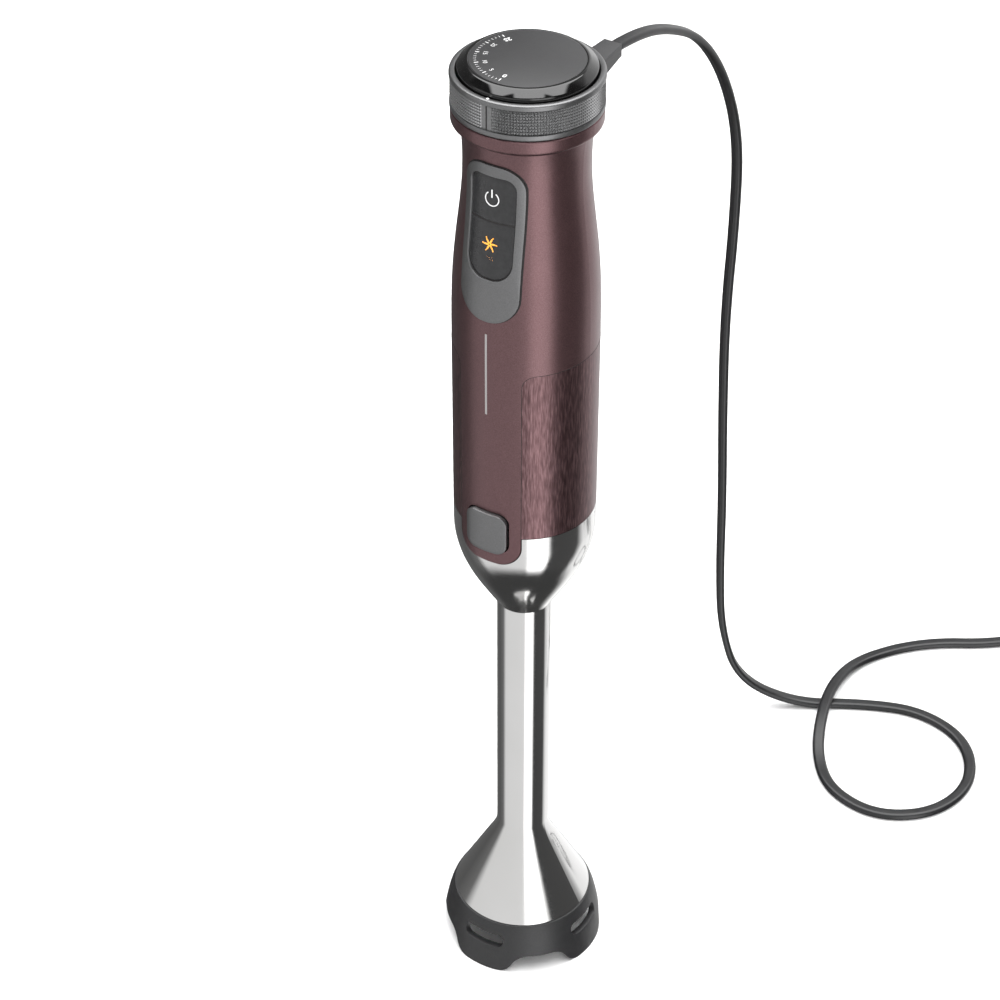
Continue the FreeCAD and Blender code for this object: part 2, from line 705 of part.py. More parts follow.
def cap_screws():
    """Three countersunk screws under the dial face, down into the top frame."""
    screws = []
    for x, y in CAP_SCREWS:
        screws.append(disc(CAP_SCREW_R, CAP_LOW - CAP_SKIRT, FACE_LOW - SEAT_GAP, x, y))
    return screws


node("dial_cap", dial_cap())
node("dial_face", disc(CAP_FLAT_R - FACE_SEAT, FACE_LOW, CAP_TOP + FACE_PROUD))
node("cap_screws", cap_screws())


# ---------------------------------------------------------------- electronics
def circuit_board():
    return block(-BOARD_HALF_W, BOARD_HALF_W, BOARD_Y - BOARD_T, BOARD_Y,
                 HANDLE_TOP - BOARD_TOP_DROP - BOARD_H, HANDLE_TOP - BOARD_TOP_DROP)


def board_switches():
    switches = []
    for z in (POWER_Z, TURBO_Z):
        front_y = SWITCH_FACE_Y + SWITCH_STEM_H
        body = block(-SWITCH_HALF_W, SWITCH_HALF_W, front_y, BOARD_Y - BOARD_T,
                     z - SWITCH_HALF_W, z + SWITCH_HALF_W)
        stem = rod(SWITCH_STEM_R, V(0, front_y, z), V(0, SWITCH_FACE_Y, z))
        switches.append(fused([body, stem]))
    return switches


def capacitor():
    z = HANDLE_TOP - CAPACITOR_DROP
    return rod(CAPACITOR_R, V(0, BOARD_Y, z), V(0, BOARD_Y + CAPACITOR_L, z))


node("circuit_board", circuit_board())
node("board_switches", board_switches())
node("capacitor", capacitor())


# ---------------------------------------------------------------- motor
SOCKET_TOP = PARTING + SOCKET_H
FAN_LOW = SOCKET_TOP + 1.5
FRAME_LOW = FAN_LOW + FAN_H + 2.0
STATOR_LOW = FRAME_LOW + FRAME_T + 8.0
STATOR_TOP = STATOR_LOW + STATOR_H
COMM_LOW = STATOR_TOP + 7.0
FRAME_TOP_LOW = COMM_LOW + COMMUTATOR_H + 2.0
FRAME_TOP = FRAME_TOP_LOW + FRAME_T
CHAMBER_R = GRIP_R - SHELL_WALL


def coupling_socket():
    """Black ring at the bottom of the handle that takes the shaft's spigot."""
    body = disc(CHAMBER_R, PARTING + 0.7, SOCKET_TOP)
    body = body.cut(disc(SOCKET_BORE_R, PARTING - 1, SOCKET_TOP - 3))
    body = body.cut(disc(COUPLING_R + 1.5, PARTING, SOCKET_TOP + 1))
    room = window(RELEASE_HALF_W + 0.8, PARTING - 1, PARTING + RELEASE_ABOVE + 0.8, 0.5, 0.5)
    room = room.cut(disc(CHAMBER_R - PRESS_TRAVEL - 2 * RUN_GAP, PARTING - 2, SOCKET_TOP))
    body = body.cut(room)
    side = LATCH_HALF_W + SEAT_GAP
    return body.cut(block(-side, side, -FAR, -SOCKET_BORE_R + 1, LATCH_LOW - SEAT_GAP, LATCH_HIGH + SEAT_GAP))


node("coupling_socket", coupling_socket())


def release_spring():
    """Coil that pushes the button out, as a short closed tube in the latch stem."""
    start, end = V(0, SPRING_SEAT_Y, LATCH_MID), V(0, LATCH_TIP_Y, LATCH_MID)
    return rod(SPRING_R, start, end).cut(rod(SPRING_R - SPRING_WIRE, start - BACK, end + BACK))


node("release_spring", release_spring())


def rubber_mounts():
    foot = disc(MOUNT_R, SOCKET_TOP, FRAME_LOW, MOUNT_CIRCLE_R, 0)
    return around(foot, 4, 45)


node("rubber_mounts", rubber_mounts())


def motor_frame():
    plate_low = ring(BEARING_R, CHAMBER_R - FRAME_GAP, FRAME_LOW, FRAME_LOW + FRAME_T)
    plate_top = ring(BEARING_R, CHAMBER_R - FRAME_GAP, FRAME_TOP_LOW, FRAME_TOP)
    posts = around(disc(POST_R, FRAME_LOW + 1, FRAME_TOP - 1, POST_CIRCLE_R, 0), 4, 45)
    vents = around(disc(VENT_R, FRAME_LOW - 1, FRAME_TOP + 1, VENT_CIRCLE_R, 0), VENTS, 0)
    whole = fused([plate_low, plate_top] + posts)
    for vent in vents:
        whole = whole.cut(vent.common(disc(FAR, FRAME_LOW - 1, FRAME_LOW + FRAME_T + 1)))
    return whole


node("motor_frame", motor_frame())
node("motor_bearings", [
    ring(MOTOR_SHAFT_R + JOURNAL_GAP, BEARING_R, low, low + FRAME_T)
    for low in (FRAME_LOW, FRAME_TOP_LOW)
])

STATOR_BORE_R = ARMATURE_R + AIR_GAP


def stator_core():
    body = disc(STATOR_R, STATOR_LOW, STATOR_TOP).cut(disc(STATOR_BORE_R, STATOR_LOW - 1, STATOR_TOP + 1))
    for side in (-1, 1):
        pocket = block(-COIL_POCKET_HALF_W, COIL_POCKET_HALF_W, *COIL_FLANK, STATOR_LOW - 1, STATOR_TOP + 1)
        body = body.cut(turned_about_z(pocket, 90 * side))
    for clamp in around(disc(POST_R, STATOR_LOW - 1, STATOR_TOP + 1, POST_CIRCLE_R, 0), 4, 45):
        body = body.cut(clamp)
    return body


def field_coils():
    coils = []
    half = COIL_POCKET_HALF_W - COIL_CLEARANCE
    for side in (-1, 1):
        outer = block(-half, half, COIL_FLANK[0] + COIL_CLEARANCE, COIL_FLANK[1] - COIL_CLEARANCE,
                      STATOR_LOW - COIL_OVERHANG, STATOR_TOP + COIL_OVERHANG)
        coils.append(turned_about_z(outer, 90 * side))
    return coils


node("stator_core", stator_core())
node("field_coils", field_coils())


def armature_core():
    body = disc(ARMATURE_R, STATOR_LOW, STATOR_TOP).cut(disc(MOTOR_SHAFT_R, STATOR_LOW - 1, STATOR_TOP + 1))
    slot = block(SLOT_ROOT_R, ARMATURE_R + 1, -ARMATURE_SLOT_W / 2, ARMATURE_SLOT_W / 2,
                 STATOR_LOW - 1, STATOR_TOP + 1)
    for cut in around(slot, ARMATURE_SLOTS):
        body = body.cut(cut)
    return body


def armature_windings():
    outer = ARMATURE_R - WINDING_IN
    return [ring(MOTOR_SHAFT_R, outer, STATOR_LOW - WINDING_H, STATOR_LOW),
            ring(MOTOR_SHAFT_R, outer, STATOR_TOP, STATOR_TOP + WINDING_H)]


def cooling_fan():
    hub = ring(MOTOR_SHAFT_R, FAN_HUB_R, FAN_LOW, FAN_LOW + FAN_H)
    plate = ring(MOTOR_SHAFT_R, FAN_R, FAN_LOW, FAN_LOW + FAN_DISC_T)
    vane = block(FAN_HUB_R - 0.5, FAN_R, -FAN_BLADE_T / 2, FAN_BLADE_T / 2,
                 FAN_LOW + FAN_DISC_T / 2, FAN_LOW + FAN_H)
    return fused([hub, plate] + around(vane, FAN_BLADES))


HEX_TOP = PARTING - 0.6
MOTOR_SHAFT_LOW = HEX_TOP + 8.0


def motor_coupling():
    nose = hexagon(HEX_FLATS - 2 * HEX_GAP, HEX_TOP - HEX_DEPTH + 1.0, HEX_TOP + 3.0)
    hub = disc(COUPLING_R, HEX_TOP + 2.0, FAN_LOW - 0.6)
    return fused([nose, hub]).cut(disc(MOTOR_SHAFT_R, MOTOR_SHAFT_LOW, FAN_LOW))


node("armature_core", armature_core())
node("armature_windings", armature_windings())
node("commutator", ring(MOTOR_SHAFT_R, COMMUTATOR_R, COMM_LOW, COMM_LOW + COMMUTATOR_H))
node("motor_shaft", disc(MOTOR_SHAFT_R, MOTOR_SHAFT_LOW, FRAME_TOP + 1.5))
node("cooling_fan", cooling_fan())
node("motor_coupling", motor_coupling())


def brush_holders():
    low, high = COMM_LOW + 0.6, FRAME_TOP_LOW
    holder = block(COMMUTATOR_R + 1.5, HOLDER_OUT_R, -HOLDER_HALF_W, HOLDER_HALF_W, low, high)
    holder = holder.cut(block(COMMUTATOR_R, HOLDER_OUT_R + 1, -BRUSH_HALF_W, BRUSH_HALF_W,
                              COMM_LOW + BRUSH_RISE, COMM_LOW + BRUSH_RISE + BRUSH_H))
    return around(holder, 2, 90)


def brushes():
    low = COMM_LOW + BRUSH_RISE
    brush = block(COMMUTATOR_R + RUN_GAP, BRUSH_OUT_R, -BRUSH_HALF_W, BRUSH_HALF_W, low, low + BRUSH_H)
    return around(brush, 2, 90)


node("brush_holders", brush_holders())
node("carbon_brushes", brushes())


# ---------------------------------------------------------------- blending shaft
def cup_curve(offset):
    """Outline of the steel cup from its straight wall in to the tube."""
    return bezier((CUP_R + offset, PARTING - CUP_STRAIGHT), (CUP_R + offset, PARTING - CUP_SHOULDER_DROP),
                  (TUBE_R + CUP_NECK_FLARE + offset, PARTING - CUP_NECK_DROP),
                  (TUBE_R + CUP_SEAT + offset, TUBE_TOP))


def steel_cup():
    outer_r, inner_r = CUP_R, CUP_R - CUP_WALL
    body = turned([
        line((inner_r, CUP_TOP), (outer_r, CUP_TOP)),
        line((outer_r, CUP_TOP), (outer_r, PARTING - CUP_STRAIGHT)),
        cup_curve(0),
        line((TUBE_R + CUP_SEAT, TUBE_TOP), (TUBE_R + CUP_SEAT - CUP_WALL, TUBE_TOP)),
        cup_curve(-CUP_WALL),
        line((inner_r, PARTING - CUP_STRAIGHT), (inner_r, CUP_TOP)),
    ])
    notch = window(TONGUE_HALF_W + SEAT_GAP, PARTING - TONGUE_DROP - SEAT_GAP, PARTING + 20,
                   TONGUE_CORNER + SEAT_GAP, 1.0)
    return body.cut(notch)


def shaft_adaptor():
    """Plastic core of the shaft's top, with the spigot that enters the handle."""
    plate_top, plate_low = (PARTING - drop for drop in ADAPTOR_PLATE_DROPS)
    bush_low = TUBE_TOP + BUSH_RISE
    plate = disc(CUP_R - CUP_WALL, plate_low, plate_top)
    spigot = disc(SOCKET_BORE_R - RUN_GAP, plate_top - 0.5, PARTING + SPIGOT_H)
    sleeve = disc(SLEEVE_R, bush_low, plate_low + 1)
    body = fused([plate, spigot, sleeve])
    body = body.cut(disc(COUPLING_R + 1.6, bush_low + BUSH_H, PARTING + SPIGOT_H + 1))
    body = body.cut(disc(BUSH_R, bush_low - 1, bush_low + BUSH_H + 1))
    front = window(TONGUE_HALF_W + SEAT_GAP, PARTING - TONGUE_DROP - SEAT_GAP, PARTING + 2, 1.0, 1.0)
    reach = CHAMBER_R - PRESS_TRAVEL - 3 * RUN_GAP
    return body.cut(front.cut(disc(reach, PARTING - 30, PARTING + 3)))


def shaft_bushing(low, high, outer):
    return ring(SPINDLE_R + JOURNAL_GAP, outer, low, high)


node("steel_cup", steel_cup())
node("shaft_adaptor", shaft_adaptor())
node("upper_bushing", shaft_bushing(TUBE_TOP + BUSH_RISE, TUBE_TOP + BUSH_RISE + BUSH_H, BUSH_R))
node("steel_tube", ring(TUBE_R - TUBE_WALL, TUBE_R, BELL_TOP_Z, TUBE_TOP))
node("lower_bushing", shaft_bushing(BELL_TOP_Z, BELL_TOP_Z + LOWER_BUSH_H, TUBE_R - TUBE_WALL))
node("shaft_seal", ring(SPINDLE_R + RUN_GAP, SEAL_R, BELL_TOP_Z - SEAL_H, BELL_TOP_Z))


def bearing_nose():
    low, high = BLADE_Z + NOSE_TIP_RISE, BELL_TOP_Z - SEAL_H
    bore = SPINDLE_R + RUN_GAP
    return turned_polygon([(bore, low), (NOSE_R[0], low), (NOSE_R[1], high), (bore, high)])


node("bearing_nose", bearing_nose())


def steel_bell():
    """Flaring shell whose edge covers the guard's top, with a lip that holds the guard."""
    low = BELL_BRIM_Z - BELL_LIP_H
    slope = (BELL_BRIM_R - BELL_THROAT_R) / (BELL_THROAT_Z - BELL_BRIM_Z)
    knee_z = BELL_THROAT_Z + (BELL_THROAT_R - TUBE_R) / slope
    lip_in = BELL_LIP_R - BELL_WALL
    lip_in_z = BELL_BRIM_Z + (BELL_BRIM_R - BELL_WALL - lip_in) / slope

    def neck(offset):
        return bezier((TUBE_R + offset, BELL_TOP_Z), (TUBE_R + offset, knee_z),
                      (BELL_THROAT_R + offset, BELL_THROAT_Z))

    outside = [(BELL_THROAT_R, BELL_THROAT_Z), (BELL_BRIM_R, BELL_BRIM_Z),
               (BELL_BRIM_R, BELL_BRIM_Z - BELL_BRIM_T), (BELL_LIP_R, BELL_BRIM_Z - BELL_BRIM_T),
               (BELL_LIP_R, low), (lip_in, low), (lip_in, lip_in_z),
               (BELL_THROAT_R - BELL_WALL, BELL_THROAT_Z)]
    edges = [line(a, b) for a, b in zip(outside, outside[1:])] + [neck(0), neck(-BELL_WALL)]
    edges.append(line((TUBE_R, BELL_TOP_Z), (TUBE_R - BELL_WALL, BELL_TOP_Z)))
    return turned(Part.__sortEdges__(edges))


node("steel_bell", steel_bell())

def guard_notch():
    """Prism of the gap between two feet: a low arch whose four corners are rounded."""
    below = -1.0
    foot, top = (NOTCH_FOOT_HALF_W, 0.0), (NOTCH_TOP_HALF_W, NOTCH_H)
    slant = math.dist(foot, top)
    share = NOTCH_CORNER / slant
    along = (foot[0] - top[0], foot[1] - top[1])
    foot_in = (foot[0] - along[0] * share, foot[1] - along[1] * share)
    top_in = (top[0] + along[0] * share, top[1] + along[1] * share)
    foot_out = (foot[0] + NOTCH_CORNER, 0.0)
    top_out = (top[0] - NOTCH_CORNER, NOTCH_H)

    def half(side):
        def at(point):
            return (side * point[0], point[1])

        return [line((side * foot_out[0], below), at(foot_out)), bezier(at(foot_out), at(foot), at(foot_in)),
                line(at(foot_in), at(top_in)), bezier(at(top_in), at(top), at(top_out))]

    ends = [line((-top_out[0], NOTCH_H), top_out), line((-foot_out[0], below), (foot_out[0], below))]
    return Part.Face(Part.Wire(Part.__sortEdges__(half(1) + half(-1) + ends))).extrude(FRONT * FAR)


def bell_guard():
    """Black foot ring that clips round the bell, with a slot over each foot."""
    top = BELL_BRIM_Z - BELL_BRIM_T
    lip_low = BELL_BRIM_Z - BELL_LIP_H
    waist = (GUARD_WAIST_R - GUARD_WALL, GUARD_WAIST_Z)
    body = turned([
        bezier((GUARD_RIM_R, top), (GUARD_WAIST_R, GUARD_WAIST_Z), (GUARD_FOOT_R, 0)),
        line((GUARD_FOOT_R, 0), (GUARD_FOOT_R - GUARD_WALL, 0)),
        bezier((GUARD_FOOT_R - GUARD_WALL, 0), waist, (BELL_LIP_R - BELL_WALL, lip_low)),
        line((BELL_LIP_R - BELL_WALL, lip_low), (BELL_LIP_R, lip_low)),
        line((BELL_LIP_R, lip_low), (BELL_LIP_R, top)),
        line((BELL_LIP_R, top), (GUARD_RIM_R, top)),
    ])
    slot = window(SLOT_HALF_W, SLOT_LOW_Z, SLOT_LOW_Z + SLOT_H, SLOT_CORNER, SLOT_CORNER)
    for cut in around(guard_notch(), GUARD_FEET, 180.0 / GUARD_FEET) + around(slot, GUARD_FEET):
        body = body.cut(cut)
    return body


node("bell_guard", bell_guard())


# ---------------------------------------------------------------- blade and its drive
def shaft_coupling():
    low = HEX_TOP - HEX_DEPTH - 5
    body = disc(COUPLING_R, low, HEX_TOP)
    return body.cut(hexagon(HEX_FLATS, HEX_TOP - HEX_DEPTH, HEX_TOP + 1)).cut(
        disc(SPINDLE_R, low - 1, low + 4))


def blade():
    """Two-winged blade: one tip bent up, the other bent down."""
    hub = disc(BLADE_HUB_R, BLADE_Z - BLADE_HUB_PROUD, BLADE_Z + BLADE_T + BLADE_HUB_PROUD)
    wings = []
    tip_start = BLADE_SPAN_R - BLADE_TIP_L
    half_w = BLADE_WIDTH / 2
    for side, bend in ((0, BLADE_BEND), (180, -BLADE_BEND)):
        root = block(0, tip_start + 0.5, -half_w, half_w, BLADE_Z, BLADE_Z + BLADE_T)
        tip = block(0, BLADE_TIP_L + 0.5, -half_w, half_w, 0, BLADE_T)
        tip.rotate(V(0, 0, BLADE_T / 2), V(0, 1, 0), bend)
        tip.translate(V(tip_start, 0, BLADE_Z))
        wing = root.fuse(tip)
        wing.rotate(V(0, 0, 0), UP, side)
        wings.append(wing)
    sweep = disc(BLADE_SPAN_R, BLADE_Z - 12, BLADE_Z + 12)
    body = fused([hub] + wings).common(sweep)
    return body.cut(disc(SPINDLE_R, BLADE_Z - 12, BLADE_Z + 12))


SPINDLE_LOW = BLADE_Z - 3.0


def blade_nut():
    top = BLADE_Z - BLADE_HUB_PROUD
    low = top - NUT_H
    whole = fused([hexagon(NUT_FLATS, low, top), disc(SPINDLE_R, low - 1, low + 1)])
    return whole.cut(disc(SPINDLE_R, SPINDLE_LOW, BLADE_Z + 1))


node("shaft_coupling", shaft_coupling())
node("drive_spindle", disc(SPINDLE_R, SPINDLE_LOW, HEX_TOP - HEX_DEPTH - 1))
node("blade", blade())
node("blade_nut", blade_nut())


# ---------------------------------------------------------------- cord
def strain_relief():
    wall_y = NECK_R - SHELL_WALL
    flange = block(-FLANGE_HALF_W, FLANGE_HALF_W, CLAMP_Y[1], wall_y - FLANGE_IN,
                   HANDLE_TOP - FLANGE_DROPS[1], HANDLE_TOP - FLANGE_DROPS[0])
    neck = block(-NECK_HALF_W, NECK_HALF_W, CLAMP_Y[1] + 1, wall_y,
                 HANDLE_TOP - NECK_DROPS[1], HANDLE_TOP - NECK_DROPS[0])
    return fused([relief_block(), flange, neck])


def cord_clamp():
    return block(-CLAMP_HALF_W, CLAMP_HALF_W, *CLAMP_Y, HANDLE_TOP - CLAMP_DROPS[1],
                 HANDLE_TOP - CLAMP_DROPS[0])


def cord_path(points):
    """Straight runs joined by tangent arcs as large as the two runs allow."""
    edges = []
    at = points[0]
    length = 0.0
    for before, here, after in zip(points, points[1:], points[2:]):
        come, go = here - before, after - here
        shorter = min(come.Length, go.Length)
        half_turn = come.getAngle(go) / 2
        setback = 0.45 * shorter
        radius = setback / math.tan(half_turn)
        come.normalize()
        go.normalize()
        start, end = here - come * setback, here + go * setback
        inward = go - come
        inward.normalize()
        sagitta = radius / math.cos(half_turn) - radius
        edges.append(Part.LineSegment(at, start).toShape())
        edges.append(Part.Arc(start, here + inward * sagitta, end).toShape())
        length += (start - at).Length + 2 * radius * half_turn
        at = end
        print("  turn %4.0f deg, radius %6.1f, run %5.1f" % (math.degrees(2 * half_turn), radius,
                                                            (here - before).Length))
    edges.append(Part.LineSegment(at, points[-1]).toShape())
    length += (points[-1] - at).Length
    return Part.Wire(edges), length


def cord_tube(name, points):
    points = [V(*p) for p in points]
    path, length = cord_path(points)
    first = points[1] - points[0]
    section = Part.Wire(Part.makeCircle(CORD_D / 2, points[0], first))
    tube = path.makePipeShell([section], True, True)
    expected = math.pi * CORD_D ** 2 / 4 * length
    print(name, "length %.1f, volume ratio %.4f" % (length, tube.Volume / expected))
    node(name, tube)


node("strain_relief", strain_relief())
node("cord_clamp", cord_clamp())
cord_tube("power_cord", CORD_ROUTE)
cord_tube("cord_tail", TAIL_ROUTE)
COIL_HALF_W = CORD_D / 2 + COIL_SLACK
node("cord_coil", ring(COIL_MEAN_R - COIL_HALF_W, COIL_MEAN_R + COIL_HALF_W, 0,
                       COIL_TURNS * CORD_D + 0.4, COIL_CENTRE.x, COIL_CENTRE.y))


def placed(shape, origin, heading):
    """Move a shape built along +X from the origin to a place and a level heading."""
    shape.rotate(V(0, 0, 0), UP, math.degrees(math.atan2(heading.y, heading.x)))
    shape.translate(origin)
    return shape


PLUG_AT = V(*TAIL_ROUTE[-1])
PLUG_HEADING = PLUG_AT - V(*TAIL_ROUTE[-2])


def plug_body():
    neck = Part.makeCone(*PLUG_NECK_R, PLUG_NECK_L, V(0, 0, 0), V(1, 0, 0))
    body = block(PLUG_NECK_L - 1, PLUG_NECK_L + PLUG_BODY_L, -PLUG_W / 2, PLUG_W / 2,
                 -PLUG_THICK / 2, PLUG_THICK / 2)
    long_edges = [e for e in body.Edges if abs(e.tangentAt(0).x) > 0.99]
    body = body.makeFillet(PLUG_CORNER, long_edges)
    return placed(fused([neck, body]), PLUG_AT, PLUG_HEADING)


def plug_pins():
    start = PLUG_NECK_L + PLUG_BODY_L
    pins = []
    for side in (-1, 1):
        pin = rod(PIN_R, V(start, side * PIN_SPACING / 2, 0), V(start + PIN_L, side * PIN_SPACING / 2, 0))
        pins.append(placed(pin, PLUG_AT, PLUG_HEADING))
    return pins


node("plug_body", plug_body())
node("plug_pins", plug_pins())


# ---------------------------------------------------------------- export
os.makedirs("parts", exist_ok=True)
for name, shape in NODES.items():
    if not shape.isValid():
        print("INVALID", name)
    shape.exportStep("parts/" + name + ".step")
print(len(NODES), "nodes")
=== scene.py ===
import math
import bpy
from mathutils import Matrix, Vector


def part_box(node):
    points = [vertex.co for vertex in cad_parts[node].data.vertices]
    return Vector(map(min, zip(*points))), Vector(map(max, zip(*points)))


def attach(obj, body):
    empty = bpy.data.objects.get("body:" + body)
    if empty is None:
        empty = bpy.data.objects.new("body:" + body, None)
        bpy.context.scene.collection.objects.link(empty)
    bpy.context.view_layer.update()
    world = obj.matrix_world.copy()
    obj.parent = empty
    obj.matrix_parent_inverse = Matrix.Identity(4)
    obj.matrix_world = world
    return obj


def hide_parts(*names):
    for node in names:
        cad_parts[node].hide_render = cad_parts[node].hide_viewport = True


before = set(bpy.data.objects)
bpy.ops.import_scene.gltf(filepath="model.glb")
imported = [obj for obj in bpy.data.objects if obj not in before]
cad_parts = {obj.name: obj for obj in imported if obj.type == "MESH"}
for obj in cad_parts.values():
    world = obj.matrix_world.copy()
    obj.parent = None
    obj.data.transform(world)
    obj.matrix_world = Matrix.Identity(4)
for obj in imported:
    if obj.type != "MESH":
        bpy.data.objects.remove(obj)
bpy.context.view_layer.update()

# Looks of the immersion blender.  Metres; +Z up; the controls face -Y and the cord
# leaves towards +Y.  The frame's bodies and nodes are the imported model's.

MM = 0.001
UP = Vector((0, 0, 1))


# ------------------------------------------------------------------ camera and studio
VIEW_TURN = math.radians(32.0)      # the camera stands this far round from the controls
VIEW_PITCH = math.radians(37.31)
VIEW_BACK = 0.9185
VIEW_HEIGHT = 0.9378
VIEW_LENS = 102.64
VIEW_SIDE = -0.00545
VIEW_YAW = -0.00403

RIGHT = Vector((math.cos(VIEW_TURN), math.sin(VIEW_TURN), 0))
AWAY = Vector((-math.sin(VIEW_TURN), math.cos(VIEW_TURN), 0))


def place_camera():
    data = bpy.data.cameras.new("view")
    data.lens = VIEW_LENS
    data.sensor_width = 36
    data.clip_start = 0.05
    data.clip_end = 30
    camera = bpy.data.objects.new("view", data)
    bpy.context.scene.collection.objects.link(camera)
    camera.location = AWAY * -VIEW_BACK + UP * VIEW_HEIGHT + RIGHT * VIEW_SIDE
    ahead = AWAY * math.cos(VIEW_PITCH) - UP * math.sin(VIEW_PITCH) + RIGHT * VIEW_YAW
    camera.rotation_euler = ahead.to_track_quat("-Z", "Y").to_euler()
    bpy.context.scene.camera = camera


def studio_world():
    """Soft studio: cards round the object, a dark dome over them and a soft box overhead."""
    world = bpy.data.worlds.new("studio")
    bpy.context.scene.world = world
    world.use_nodes = True
    nodes, links = world.node_tree.nodes, world.node_tree.links
    background = nodes["Background"]
    coords = nodes.new("ShaderNodeTexCoord")
    turn = nodes.new("ShaderNodeMapping")
    turn.vector_type = "NORMAL"
    turn.inputs["Rotation"].default_value = (0, 0, -VIEW_TURN)
    links.new(coords.outputs["Generated"], turn.inputs["Vector"])
    parts = nodes.new("ShaderNodeSeparateXYZ")
    links.new(turn.outputs["Vector"], parts.inputs[0])
    # angle round the object: 0 is straight behind the camera, positive to its right
    toward = nodes.new("ShaderNodeMath")
    toward.operation = "MULTIPLY"
    toward.inputs[1].default_value = -1
    links.new(parts.outputs["Y"], toward.inputs[0])
    angle = nodes.new("ShaderNodeMath")
    angle.operation = "ARCTAN2"
    links.new(parts.outputs["X"], angle.inputs[0])
    links.new(toward.outputs[0], angle.inputs[1])
    share = nodes.new("ShaderNodeMapRange")
    share.inputs["From Min"].default_value = -math.pi
    share.inputs["From Max"].default_value = math.pi
    links.new(angle.outputs[0], share.inputs["Value"])

    def ring_of_light(stops):
        colours = nodes.new("ShaderNodeValToRGB")
        elements = colours.color_ramp.elements
        while len(elements) < len(stops):
            elements.new(0.5)
        for element, (degrees, level) in zip(elements, stops):
            element.position = (degrees + 180) / 360
            element.color = (level, level, level, 1)
        links.new(share.outputs[0], colours.inputs["Fac"])
        return colours.outputs["Color"]

    def between(socket, start, end):
        span = nodes.new("ShaderNodeMapRange")
        span.interpolation_type = "SMOOTHSTEP"
        span.inputs["From Min"].default_value = start
        span.inputs["From Max"].default_value = end
        links.new(socket, span.inputs["Value"])
        return span.outputs["Result"]

    def blended(factor, under, over):
        mix = nodes.new("ShaderNodeMix")
        mix.data_type = "RGBA"
        links.new(factor, mix.inputs["Factor"])
        for name, light in (("A", under), ("B", over)):
            if isinstance(light, float):
                mix.inputs[name].default_value = (light, light, light, 1)
            else:
                links.new(light, mix.inputs[name])
        return mix.outputs["Result"]

    def both(first, second):
        product = nodes.new("ShaderNodeMath")
        product.operation = "MULTIPLY"
        links.new(first, product.inputs[0])
        links.new(second, product.inputs[1])
        return product.outputs[0]

    across, up = parts.outputs["X"], parts.outputs["Z"]
    near = toward.outputs[0]

    def soft_box(left, right, back, front, low):
        """Share of a box overhead, from its edges across and towards the camera."""
        sides = both(between(across, left - 0.03, left + 0.03),
                     between(across, right + 0.03, right - 0.03))
        ends = both(between(near, back - 0.03, back + 0.03),
                    between(near, front + 0.02, front - 0.02))
        return both(both(sides, ends), between(up, low, low + 0.04))

    light = blended(between(up, *PIT_EDGE), ring_of_light(STUDIO_CARDS), PIT_LEVEL)
    light = blended(between(up, *DOME_EDGE), light, ring_of_light(DOME_CARDS))
    for box in SOFT_BOXES:
        light = blended(soft_box(*box), light, SOFT_BOX_LEVEL)
    links.new(light, background.inputs["Color"])


# cards are (degrees round the object, level of light); edges are heights of the way looked
STUDIO_CARDS = (
    (-180, 0.14), (-125, 0.10), (-98, 0.16), (-84, 0.76), (2, 0.80), (8, 2.2),
    (34, 2.2), (44, 0.06), (95, 0.07), (110, 0.95), (160, 1.2), (180, 0.3),
)
DOME_CARDS = (
    (-180, 0.22), (-150, 0.45), (-128, 0.40), (-116, 0.04), (-48, 0.03), (46, 0.03),
    (104, 0.04), (116, 0.40), (150, 0.45), (180, 0.22),
)
DOME_EDGE = (0.50, 0.60)
PIT_EDGE = (-0.80, -0.92)
PIT_LEVEL = 0.05
SOFT_BOXES = (            # left, right, back, front, low
    (-0.58, 0.60, -0.60, 0.25, 0.60),
    (-0.24, 0.29, 0.22, 0.46, 0.80),
)
SOFT_BOX_LEVEL = 4.4
KEY_POWER = 16
TOP_POWER = 10


def lay_floor():
    clear_selection()
    bpy.ops.mesh.primitive_plane_add(size=14, location=(0, 0, 0))
    floor = bpy.context.object
    floor.name = "floor"
    surface = Finish("floor", (0.92, 0.92, 0.92), 0.9)
    floor.data.materials.append(surface.material)
    floor.visible_glossy = False


def hang_lamp(name, place, aim, width, power):
    data = bpy.data.lights.new(name, "AREA")
    data.shape = "RECTANGLE"
    data.size = width
    data.size_y = width
    data.energy = power
    lamp = bpy.data.objects.new(name, data)
    lamp.visible_glossy = False
    bpy.context.scene.collection.objects.link(lamp)
    lamp.location = place
    lamp.rotation_euler = (aim - place).to_track_quat("-Z", "Y").to_euler()


